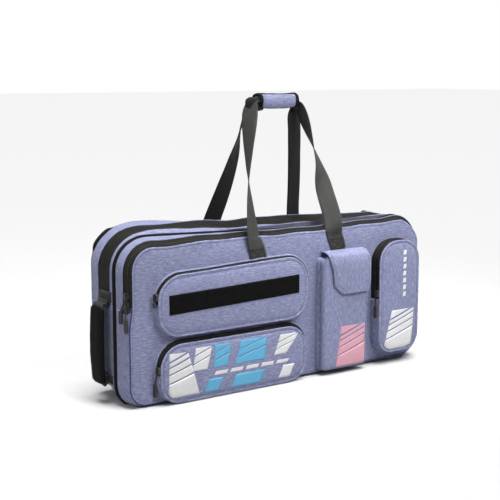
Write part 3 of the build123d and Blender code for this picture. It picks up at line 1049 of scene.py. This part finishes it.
def zipped_pocket(name, look):
    """One zipped pocket: gusset, zip, crowned face, piping in a lighter copy of the canvas as painted highlight, and
    its seam.
    """
    prefix = f"{name}_pocket"
    lid = f"{prefix}_lid"
    face_back = span(f"{prefix}_face", 1)[1]
    split = span(f"{prefix}_zip_tape", 2)[0]
    base = FRONT_Y + 0.5
    edge = face_back - 0.8
    outline = Outline(span(f"{prefix}_face", 0), span(f"{prefix}_face", 2), look["radii"], split, 8.0)
    floor_z = outline.z[0]
    tall = outline.z[1] - floor_z

    def shape(x, z, nx, nz, y, lift):
        q = min(max((y - base) / (edge - base), 0), 1)
        top, left, right, bottom = look["flare"]
        side = left if nx < 0 else mix(left, right, smooth((z - floor_z - 50) / (split - floor_z - 30)))
        flare = mix(side, top if nz > 0 else bottom, nz * nz)
        return lift + flare * (1 - q) + 0.8 * bell(q) + ripple((x, y, z), 0.7 * bell(q), 26)

    def levels(start, end, count, lift=0.0):
        return steps(mix(base, edge, start), mix(base, edge, end), count, lift)

    def sagged(point):
        down = mix(*look["sag"], smooth((point.x - outline.x[0]) / (outline.x[1] - outline.x[0])))
        return point - UP * (down * smooth((point.z - floor_z - 0.35 * tall) / (0.6 * tall)))

    lower = outline.half(False)
    upper = outline.half(True)
    strip = look["strip"]
    middle = (strip + 1.0) / 2
    joint = ("front_lid", lid, ramp(base - 3, edge + 1))
    near_bag = ("front_lid", lid, ramp(base - 3, edge + 1, split, 50))
    near_lid = ("front_lid", lid, ramp(base - 3, edge + 1, split, -30))
    sewn(f"{prefix}_gusset_cloth", lower, levels(-0.02, 1, 9), shape, False, "fabric", joint,
         f"{prefix}_gusset", change=sagged)
    roll = levels(-0.02, strip, 3) + levels(strip + 0.03, strip, 1, -1.2)
    sewn(f"{prefix}_cloth_behind_zip", upper, roll, shape, True, "fabric", near_bag,
         thick=1.2, change=sagged)
    tape = levels(strip - 0.03, middle - 0.03, 3, -0.35) + [(mix(base, edge, middle - 0.015), -1.0)]
    sewn(f"{prefix}_zip_tape_bag_side", upper, tape, shape, True, "tape", near_bag, f"{prefix}_zip_tape",
         thick=0.8, change=sagged)
    tape = [(mix(base, edge, middle + 0.015), -1.0)] + levels(middle + 0.03, 1.0, 3, -0.35)
    sewn(f"{prefix}_zip_tape_lid_side", upper, tape, shape, True, "tape", near_lid, thick=0.8, change=sagged)
    line = edge_line(upper, shape, mix(base, edge, middle), -0.2)
    coil(f"{prefix}_zip_coil", line, near_lid, sagged, 2.4, 1.8, 0.5)

    cloth = panel(outline, at_y(face_back, FACE_EDGE), unevenness(200, (0.9, 46), (0.35, 18, 50)),
                  turned=name == "end")
    face = cloth.moved(sagged).piece(f"{prefix}_face_cloth", CLOTH_THICK)
    tree = skin(face)
    place(face, "fabric", lid, f"{prefix}_face")
    piping = tube(outline.ring(), face_back - 1.5, 0.3, 1.9).moved(sagged)
    # the piping takes the lighter copy of the canvas, a painted highlight
    place(piping.piece(f"{prefix}_piping_painted_highlight"), "fabric_piping", lid, f"{prefix}_piping")
    line = flat_line(outline.ring(FACE_SEAM_INSET), face_back - 2.3)
    seam(f"{prefix}_face_stitches", [looped(line)], "thread", lid, 0.5, sagged)
    return tree, outline


def loop_strip(tree):
    """Black loop strip for a name panel, sewn a little low and askew across the upper pocket."""
    low, high = cad("loop_strip")
    low.z -= 4.0
    high.z -= 4.0

    def lean(x):
        return 9.5 * (x - low.x) / (high.x - low.x)

    def point(u, v):
        x = mix(low.x, high.x + 2, u)
        return laid_on(tree, x, mix(low.z, high.z, v) + lean(x), 1.5)[0]

    strip = Cloth().grid(sheet(60, 8, point)).piece("loop_strip_pile", 1.4)
    top = skin(strip)
    place(strip, "loop", "upper_pocket_lid", "loop_strip")
    across = [mix(low.x + 2.2, high.x - 0.2, i / 60) for i in range(61)]
    border = [(x, low.z + 2.2 + lean(x)) for x in across]
    border += [(x, high.z - 2.2 + lean(x)) for x in across[::-1]]
    line = [laid_on(top, x, z, 0.1) for x, z in looped(border)]
    seam("loop_strip_stitches", [line], "black_thread", "upper_pocket_lid", 0.4)


# ---------------------------------------------------------------- middle pocket and flap

POUCH_FOLDS = [(0.5, 2.0), (-1.2, 1.6), (-5, 1.2), (-8, 0.6), (-11, -2.6), (-12.5, -5.4), (-14, -2.8),
               (-16.5, 0.6), (-20, 1.0)]
POUCH_EDGE = [(0.4, 1.2), (0.9, 0.2), (2.2, -0.5), (4.5, -0.8), (9, -1.2), (16, -1.6), (28, -2.0)]


def middle_pocket():
    """Bellows pouch with a pleat in its sides, open at the top under the flap."""
    low, high = cad("middle_pocket")
    front = low.y
    outline = Outline((low.x, high.x), (low.z, high.z), (7, 12), high.z - 30, 7.0)
    profile = [(FRONT_Y + y, out) for y, out in POUCH_FOLDS]
    profile += [(front + 3, 0.6), (front + 1.2, -0.2), (front + 0.2, -1.4)]

    def shape(x, z, nx, nz, y, out):
        pleat = out if out > -2 else out * (1 - smooth(-nz * 1.5))
        return pleat + ripple((x, y, z), 0.8, 30)

    path = outline.half(False, split=high.z - 1)
    sewn("middle_pocket_gusset_cloth", path, profile, shape, False, "fabric", "front_lid", "middle_pocket",
         change=Vector)
    cloth = panel(outline, at_y(front, POUCH_EDGE), unevenness(300, (1.6, 60), (0.5, 20, 50)), turned=True)
    face = cloth.piece("middle_pocket_face_cloth", CLOTH_THICK)
    tree = skin(face)
    place(face, "fabric", "front_lid")
    path = [(mix(low.x + 2, high.x - 2, i / 24), high.z - 0.5, 0, 1) for i in range(25)]
    rim = tube(path, front + 0.4, 0.2, 1.5, ring=False)
    place(rim.piece("middle_pocket_rim"), "thread", "front_lid")
    line = flat_line(outline.half(False, 3.4, high.z - 5), front - 0.9)
    seam("middle_pocket_stitches", [line], "thread", "front_lid", 0.4)
    return tree, outline


# (y, z) of the flap's fall, and x of its sides by distance along the fall
FLAP_DROP = ((-76.5, 263.5), (-80, 264.6), (-88, 264.8), (-97, 262.8), (-103, 258.5), (-106, 251),
             (-107.5, 240), (-107.6, 222), (-107.2, 202), (-106.6, 188), (-106.2, 175))
FLAP_LEFT = ((0, 92), (30, 93), (62, 103), (93, 107), (117, 133), (140, 134))
FLAP_RIGHT = ((0, 202), (30, 203), (60, 206), (95, 207), (117, 198), (140, 198))


def flap():
    """The flap: sewn to the panel above the pouch, folded over its front, with cut-off lower corners."""
    drop = smooth_line(FLAP_DROP, 8)
    along = [0.0]
    for a, b in zip(drop, drop[1:]):
        along.append(along[-1] + math.hypot(b[0] - a[0], b[1] - a[1]))
    fall = list(zip(drop, along))

    def point(i, u):
        (y, z), s = fall[i]
        x = mix(table_at(FLAP_LEFT, s), table_at(FLAP_RIGHT, s), u)
        crown = 1.6 * math.sin(math.pi * u) * smooth(s / 30)
        edge = 0.8 * (1 - min(u, 1 - u, 0.06) / 0.06)
        return Vector((x, y - crown + edge + ripple((x, y, z), 0.9, 34), z))

    rows = [[point(i, k / 24) for k in range(25)] for i in range(len(fall))]
    piece = Cloth().grid(rows, flip=True).piece("flap_cloth", 2.2)
    tree = skin(piece)
    place(piece, "fabric", "flap", "pocket_flap")
    lower = [(z + 4, s + 4) for (y, z), s in fall[6:] if z + 4 < 264]
    hem = [(table_at(FLAP_LEFT, s) + 4.5, z) for z, s in lower]
    hem += [(table_at(FLAP_RIGHT, s) - 4.5, z) for z, s in lower[::-1]]
    seam("flap_stitches", [[laid_on(tree, x, z, 0.05) for x, z in hem]], "thread", "flap")


# ---------------------------------------------------------------- straps, grip and side handle

WEBBING = 38.0


def ribbon(name, stations, change=Vector):
    """Flat webbing through stations (x, y, z, turn in degrees, width); turn 0 lies across the front."""
    line = smooth_line(stations, 10)
    rows = []
    for i, (x, y, z, turn, width) in enumerate(line):
        before = line[max(i - 1, 0)]
        after = line[min(i + 1, len(line) - 1)]
        along = (Vector(after[:3]) - Vector(before[:3])).normalized()
        angle = math.radians(turn)
        across = Vector((math.cos(angle), math.sin(angle), 0))
        across = (across - along * across.dot(along)).normalized()
        lift = across.cross(along)
        row = []
        for w in (k / 4 - 1 for k in range(9)):
            cup = 0.8 * w * w + ripple((x + 40 * w, y, z), 0.8, 40)
            row.append(Vector((x, y, z)) + across * (w * width / 2) + lift * cup)
        rows.append(row)
    return Cloth().grid(rows, flip=True).moved(change).piece(name, 1.8)


# stations (x, y, z, turn, width) of the four legs, from their patches up to the grip
FRONT_LEFT = (
    (-69, -79.0, 261, 0, 40), (-73.5, -79.4, 279, 0, 40), (-80, -80.6, 298, 6, 38),
    (-84.5, -80.0, 316, 18, 38), (-84, -73.0, 350, 30, 38), (-78, -56, 419, 54, 38),
    (-64, -36, 484, 80, 38), (-48, -16, 544, 107, 38),
    (-41, -8, 566, 107, 35), (-32, -3, 580, 100, 26), (-12, -2, 583, 92, 20))
FRONT_RIGHT = (
    (140, -79.0, 265, 0, 40), (135, -79.4, 282, 0, 40), (127, -80.8, 298, -4, 38),
    (121, -84.0, 314, -26, 38), (122, -77, 341, -36, 38), (121.5, -52, 393, -20, 38),
    (119.5, -36, 445, 31, 38), (113, -24, 483, 54, 38),
    (101, -13, 530, 82, 38), (91, -7, 562, 90, 34), (82, -3, 578, 92, 26), (66, -2, 583, 92, 20))
REAR_LEFT = (
    (-92, 79.0, 268, 0, 38), (-91, 79.6, 284, -2, 38), (-86, 81.5, 305, -8, 38), (-77, 80.0, 333, -14, 38),
    (-65, 64, 384, -4, 38), (-48, 46, 455, 20, 38), (-44, 32, 503, 46, 38), (-42, 20, 535, 62, 36),
    (-34, 9, 564, 80, 30), (-24, 4.5, 580, 88, 22), (-8, 4, 582, 90, 18))
REAR_RIGHT = (
    (146, 79.0, 268, 0, 38), (145, 79.6, 284, 0, 38), (142, 81.5, 305, 6, 38), (137, 79.5, 330, 11, 38),
    (126, 62, 395, 12, 38), (114, 45, 452, 12, 38), (95, 21, 521, 12, 37), (83, 10, 556, 16, 34),
    (75, 5, 576, 50, 24), (60, 4, 582, 90, 18))
PATCH_TALL = 22.0


def straps():
    """Both carrying handles: four webbing legs from their sewn patches up to the grip."""
    bend = {"start": (0, 0, 286 / METRE), "end": (0, 0, 330 / METRE)}
    for name, stations, side, lid, handle, node in (
            ("front_left", FRONT_LEFT, 1, "front_lid", "front_handle", "front_strap_patches"),
            ("front_right", FRONT_RIGHT, 1, "front_lid", "front_handle", "front_handle_webbing"),
            ("rear_left", REAR_LEFT, -1, "back_lid", "rear_handle", "rear_strap_patches"),
            ("rear_right", REAR_RIGHT, -1, "back_lid", "rear_handle", "rear_handle_webbing")):
        strap = ribbon(f"strap_{name}", stations)
        tree = skin(strap)
        # the rear legs take the darker copy of the webbing, painted shade for their shaded inner side
        place(strap, "webbing" if side > 0 else "smooth_webbing", (lid, handle, bend), node)
        x0 = stations[0][0]
        x1 = stations[1][0] + (stations[1][0] - x0) * 0.4
        low = stations[0][2] + 3
        high = low + PATCH_TALL
        a, b, c, d = (x0 - 15, low), (x0 + 15, low), (x1 + 15, high), (x1 - 15, high)
        lines = []
        for route in ([a, b, c, d, a], [a, c], [b, d]):
            fine = []
            for p, q in zip(route, route[1:]):
                fine += [(mix(p[0], q[0], k / 12), mix(p[1], q[1], k / 12)) for k in range(13)]
            lines.append([laid_on(tree, x, z, 0.1, side) for x, z in fine])
        seam(f"strap_{name}_stitches", lines, "black_thread", lid, 1.0)


GRIP_X = (-19.0, 79.0)
GRIP_Y = 0.5
GRIP_Z = (GRIP_LOW.z + GRIP_HIGH.z) / 2
GRIP_RADIUS = 16.2


def squared(angle, power):
    """Cosine and sine of an angle, and how far a rounded square stands out from a circle there."""
    c, s = math.cos(angle), math.sin(angle)
    return c, s, (abs(c) ** power + abs(s) ** power) ** (-1 / power)


def round_grip(x, radius, angle):
    """A point round the grip's line, which hangs a little in its middle."""
    c, s, size = squared(angle, 2.6)
    r = radius * size + ripple((x, 30 * c, 30 * s), 0.7, 22)
    sag = 1.5 * bell((x - GRIP_X[0]) / (GRIP_X[1] - GRIP_X[0]))
    return Vector((x, GRIP_Y + r * c, GRIP_Z + r * s * 0.96 - sag))


def folded_webbing(x, radius, angle):
    """A point round the webbing that is folded in layers where it enters the grip."""
    c, s, size = squared(angle, 3.4)
    r = radius * size * (1 + 0.07 * abs(math.sin(3 * angle) * c)) + ripple((x, 30 * c, 30 * s), 1.4, 14)
    return Vector((x, GRIP_Y + 0.8 * r * c, GRIP_Z - 7 + r * s))


def rings(x_radius, point, sides=28):
    return [[point(x, radius, 2 * math.pi * k / sides) for k in range(sides)] for x, radius in x_radius]


def grip():
    """Padded sleeve that holds both handles: blue cloth bound in black at its ends and closing edge."""
    x0, x1 = GRIP_X
    ends = [(x0 + 1, 7.0), (x0, 9.5), (x0 - 0.2, 13), (x0 + 1.2, 15.0)]
    line = ends + [(mix(x0 + 5, x1 - 5, i / 20), GRIP_RADIUS - 1.2 + 1.2 * math.sin(math.pi * i / 20) ** 0.5)
                   for i in range(21)]
    line += [(x1 + x0 - x, r) for x, r in ends[::-1]]
    sleeve = Cloth().grid(rings(line, round_grip), flip=True, closed=True).piece("grip_sleeve", 1.4)
    place(sleeve, "fabric", "front_handle", "grip_wrap")
    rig.padded(sleeve, fill=0.7)
    for name, x, way, wide in (("left", x0, 1, 6.0), ("right", x1, -1, 7.0)):
        band = ((1.0, 8.5), (-0.9, 12.0), (-1.3, 14.6), (-0.4, 16.2), (2, 16.9), (wide - 1, 17.0),
                (wide, 16.5), (wide - 0.2, 15.0))
        rows = rings([(x + way * more, radius) for more, radius in band], round_grip)
        binding = Cloth().grid(rows, flip=way > 0, closed=True)
        place(binding.piece(f"grip_binding_{name}"), "welt", "front_handle")
    rows = []
    for i in range(25):
        x = mix(x0 + 1, x1 - 1, i / 24)
        rows.append([round_grip(x, GRIP_RADIUS + (0.9 if 0 < k < 6 else -0.4), math.radians(88 + 5 * k))
                     for k in range(7)])
    place(Cloth().grid(rows, flip=True).piece("grip_closing_edge"), "welt", "front_handle")
    for name, folds, tall in (("left", (-44, -41, -34, -25, -16, -8), 15.0),
                              ("right", (88, 86, 82, 78, 74, 70), 13.0)):
        sizes = [tall * size for size in (0.35, 0.8, 1.0, 0.96, 0.9, 0.8)]
        rows = rings(zip(folds, sizes), folded_webbing, 40)
        lump = Cloth().grid([squeeze(rows[0])] + rows, flip=name == "left", closed=True)
        # the folded webbing takes the darker copy of the webbing too, painted shade
        place(lump.piece(f"grip_folded_webbing_{name}"), "smooth_webbing", "front_handle")


PAD_BEND = 3.0


def side_handle():
    """Padded carrying loop on the left end, between two ribbed tacks."""
    low, high = cad("side_handle_pad")
    webbing_top = cad("side_handle_webbing")[1].z
    tack_top = cad("side_handle_tacks")[1].z
    y = (low.y + high.y) / 2
    x = (low.x + high.x) / 2 + 4
    bag_x = BODY_X[0] - 6
    wide = high.y - low.y
    middle_z = (low.z + high.z) / 2
    tall = high.z - low.z + 6
    route = ((bag_x - 1.0, webbing_top + 9), (bag_x - 4, webbing_top + 1), (x + 3, high.z + 1),
             (x - 0.5, middle_z), (x + 3, low.z - 0.5), (bag_x - 5, low.z - 2), (bag_x + 1, low.z + 3))
    webbing = ribbon("side_handle_strap", [(at, y, z, -90, WEBBING) for at, z in route], tucked)
    place(webbing, "webbing", "side_handle", "side_handle_webbing")

    def round_pad(t, bend, angle):
        close = 1 - 0.30 * max(1 - min(t, 1 - t) / 0.035, 0) ** 2
        c, s, size = squared(angle, 4)
        z = mix(middle_z - tall / 2, middle_z + tall / 2, t)
        px = x + PAD_BEND * bend + (6.2 - bend) * close * size * c
        py = y + wide / 2 * (1 - 0.04 * math.cos(2 * math.pi * t)) * close * size * s
        return Vector((px + ripple((px, py, z), 0.7, 24), py, z))

    rows = rings([(i / 30, (i / 15 - 1) ** 2) for i in range(31)], round_pad, 32)
    pad = Cloth().grid([squeeze(rows[0])] + rows + [squeeze(rows[-1])], flip=True, closed=True)
    pad = pad.piece("side_handle_pad_sleeve")
    place(pad, "padding", "side_handle", "side_handle_pad")
    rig.padded(pad, fill=0.6)
    lines = []
    for part in (-1, 1):
        lines.append([(Vector((x - 6.0 + PAD_BEND * (i / 20 - 1) ** 2, y + part * (wide / 2 - 5),
                               mix(low.z, high.z, i / 40))), Vector((-1, 0, 0))) for i in range(41)])
    seam("side_handle_pad_stitches", lines, "black_thread", "side_handle", 0.4)

    for name, z0, z1, nodes in (("upper", webbing_top + 3, tack_top + 9, ("side_handle_tacks",)),
                                ("lower", low.z - 6, low.z + 12, ())):
        def point(t, v):
            s = 2 * v - 1
            z = mix(z0, z1, t)
            py = y + s * 22
            lift = min(min(t, 1 - t) / 0.06, 1) * 3.6 + 0.7 * math.cos(t * 2 * math.pi * 6)
            out = rear_shape(BODY_X[0], z, -1, 0, py, 0) - rounded_in(BODY_RADII[1], z)
            lift *= min((1 - abs(s)) / 0.08, 1)
            return tucked(Vector((BODY_X[0] - out, py, z))) - Vector((lift, 0, 0))

        tack = Cloth().grid(sheet(32, 14, point)).piece(f"side_handle_tack_{name}", 0.8)
        place(tack, "webbing", "bag", *nodes)


def squeeze(row):
    """A row drawn in to its middle, to close an end."""
    middle = sum(row, Vector()) / len(row)
    return [middle + (p - middle) * 0.25 for p in row]


# ---------------------------------------------------------------- prints

PRINT_INSET = 6.0


def inside(outline, x, z):
    """x drawn in to where the print's inset outline stands at a height."""
    radius = outline.radii[1] - PRINT_INSET
    drop = min(max(outline.z[0] + outline.radii[1] - z, 0), radius)
    reach = radius - math.sqrt(radius ** 2 - drop ** 2) + PRINT_INSET
    return min(max(x, outline.x[0] + reach), outline.x[1] - reach)


def slashed(cloth, surface, left, right, z_range, cuts=((0, 1),), slope=0):
    """A block print cut by rising slashes. left and right are x at its bottom and top; cuts are the
    (low, high) shares of the block's height that each strip fills at its middle."""
    tree, outline = surface
    z0, z1 = z_range
    for low, high in cuts:
        def point(u, v):
            rise = slope * (u - 0.5)
            bottom = min(max(mix(z0, z1, low) + (rise if low > 0 else 0), z0), z1)
            top = min(max(mix(z0, z1, high) + (rise if high < 1 else 0), z0), z1)
            z = mix(bottom, top, v)
            share = (z - z0) / (z1 - z0)
            x = mix(mix(*left, share), mix(*right, share), u)
            return laid_on(tree, inside(outline, x, z), z, 0.35)[0]

        cloth.grid(sheet(12, 8, point))


# the shares of a block's height that its strips fill
SLASHES = ((0.0, 0.40), (0.43, 0.60), (0.635, 0.76), (0.80, 0.88), (0.925, 1.0))
FEW_SLASHES = ((0.0, 0.42), (0.47, 0.78), (0.84, 1.0))
# blocks: x of the left side at the bottom and top, the same of the right side, z, cuts and slope
SILVER = [((-297, -293), (-226, -252), (15, 103), SLASHES, 16),
          ((-243, -234), (-208, -196), (62, 107), FEW_SLASHES, 14),
          ((-44, -28), (-14, 22), (66, 106), FEW_SLASHES, 15), ((-33, -20), (-4, 8), (15, 41))]
SILVER += [((x, x + 4), (x + 30, x + 34), (47, 54)) for x in range(-192, -20, 38)]
CYAN = [((-194, -188), (-160, -150), (62, 107), FEW_SLASHES, 14),
        ((-141, -126), (-68, -62), (62, 108), FEW_SLASHES, 17),
        ((-214, -204), (-182, -170), (14, 40)), ((-150, -138), (-78, -66), (14, 40))]
PINK = [((115, 128), (198, 196), (16, 104), SLASHES, 24)]
GREY = [((249, 272), (331, 339), (33, 121), SLASHES, 24)]
GREY += [((303, 305), (311, 313), (150 + 15.5 * k, 160 + 15.5 * k)) for k in range(7)]


def prints(surfaces):
    """Abstract slashed blocks in the places and colours of the printed pattern, with no lettering."""
    for name, blocks, finish, pocket, lid in (
            ("silver_blocks", SILVER, "silver", "lower", "lower_pocket_lid"),
            ("cyan_blocks", CYAN, "cyan", "lower", "lower_pocket_lid"),
            ("pink_block", PINK, "pink", "middle", "front_lid"),
            ("grey_blocks", GREY, "grey_print", "end", "end_pocket_lid")):
        cloth = Cloth()
        for block in blocks:
            slashed(cloth, surfaces[pocket], *block)
        place(cloth.piece(f"print_{name}", 0.2), finish, lid)


# ---------------------------------------------------------------- carried-over CAD nodes

def dress_cad_nodes():
    """Better materials for the CAD nodes that stay: sliders, pulls, divider, board, closure patches."""
    kinds = {"slider": "enamel", "pull": "rubber", "panel": "lining", "board": "board"}
    for name, node in frame["nodes"].items():
        if not node.hide_render:
            node.data.materials.clear()
            node.data.materials.append(FINISHES[kinds.get(name.split("_")[-1], "hook")][1])


# ---------------------------------------------------------------- floor, light and camera

CAMERA_AT = Vector((-1.371, -1.893, 0.641))
CAMERA_AZIMUTH = math.radians(35.19)
CAMERA_ELEVATION = math.radians(9.07)
CAMERA_LENS = 80.28
FLOOR_SIZE = 30
# name, place, target, size in x and y, power, spread in degrees
LAMPS = (("key", (0.3, -0.72, 0.98), (0.2, -0.08, 0.34), (1.2, 0.4), 4.4, 70),
         ("fill", (-1.6, -0.5, 1.0), (-0.35, 0.0, 0.2), (1.0, 1.0), 10.0, 180),
         ("front", (1.0, -2.6, 1.0), (0.1, -0.05, 0.2), (1.2, 1.2), 2.0, 180))
SUN_POWER = 6.5
ROOM_LIGHT = 0.15


def studio():
    """Plain pale floor, a white room, a broad light from above and three soft lamps."""
    mesh = bpy.data.meshes.new("floor")
    corners = [(x * FLOOR_SIZE, y * FLOOR_SIZE, 0) for x, y in ((-1, -1), (1, -1), (1, 1), (-1, 1))]
    mesh.from_pydata(corners, [], [(0, 1, 2, 3)])
    floor = bpy.data.objects.new("floor", mesh)
    bpy.context.scene.collection.objects.link(floor)
    g = Graph("pale_floor")
    paint = g.noise(g.place("Object", (40, 40, 40)), detail=3)
    mesh.materials.append(g.finish(g.ramp(paint, (0.3, grey(0.41)), (0.7, grey(0.42))), 0.9))
    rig.stage(floor)

    scene = bpy.context.scene
    scene.view_settings.view_transform = "Standard"
    scene.world = bpy.data.worlds.new("studio")
    scene.world.use_nodes = True
    tree = scene.world.node_tree
    lit = tree.nodes["Background"]
    seen = tree.nodes.new("ShaderNodeBackground")
    for background, strength in ((lit, ROOM_LIGHT), (seen, 1.0)):
        background.inputs["Color"].default_value = (1, 1, 1, 1)
        background.inputs["Strength"].default_value = strength
    either = tree.nodes.new("ShaderNodeMixShader")
    tree.links.new(tree.nodes.new("ShaderNodeLightPath").outputs["Is Camera Ray"], either.inputs[0])
    tree.links.new(lit.outputs[0], either.inputs[1])
    tree.links.new(seen.outputs[0], either.inputs[2])
    tree.links.new(either.outputs[0], tree.nodes["World Output"].inputs["Surface"])

    for name, at, target, (wide, tall), power, spread in LAMPS:
        light = bpy.data.lights.new(name, "AREA")
        light.shape = "RECTANGLE"
        light.size = wide
        light.size_y = tall
        light.energy = power
        light.spread = math.radians(spread)
        hang(light, at, target)
    sun = bpy.data.lights.new("top", "SUN")
    sun.energy = SUN_POWER
    sun.angle = math.radians(35)
    hang(sun, (0, -0.15, 3), (0, 0, 0))

    camera = bpy.data.cameras.new("camera")
    camera.sensor_width = 36
    camera.lens = CAMERA_LENS
    a, e = CAMERA_AZIMUTH, CAMERA_ELEVATION
    look = Vector((math.sin(a) * math.cos(e), math.cos(a) * math.cos(e), -math.sin(e)))
    scene.camera = hang(camera, CAMERA_AT, CAMERA_AT + look)


def hang(data, at, target):
    """A light or camera at a place, turned towards a target."""
    thing = bpy.data.objects.new(data.name, data)
    bpy.context.scene.collection.objects.link(thing)
    thing.location = at
    thing.rotation_euler = (Vector(target) - Vector(at)).to_track_quat("-Z", "Y").to_euler()
    return thing


studio()
front_compartment()
rear_compartment()
zip_end_tabs()
main_panels()
surfaces = {name: zipped_pocket(name, look) for name, look in POCKETS.items()}
surfaces["middle"] = middle_pocket()
loop_strip(surfaces["upper"][0])
flap()
straps()
grip()
side_handle()
prints(surfaces)
dress_cad_nodes()

with open("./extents.json", "w") as sizes:
    json.dump({"cad": [list(c) for c in cad_bounds], "visual": [list(c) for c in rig.bounds()]}, sizes)
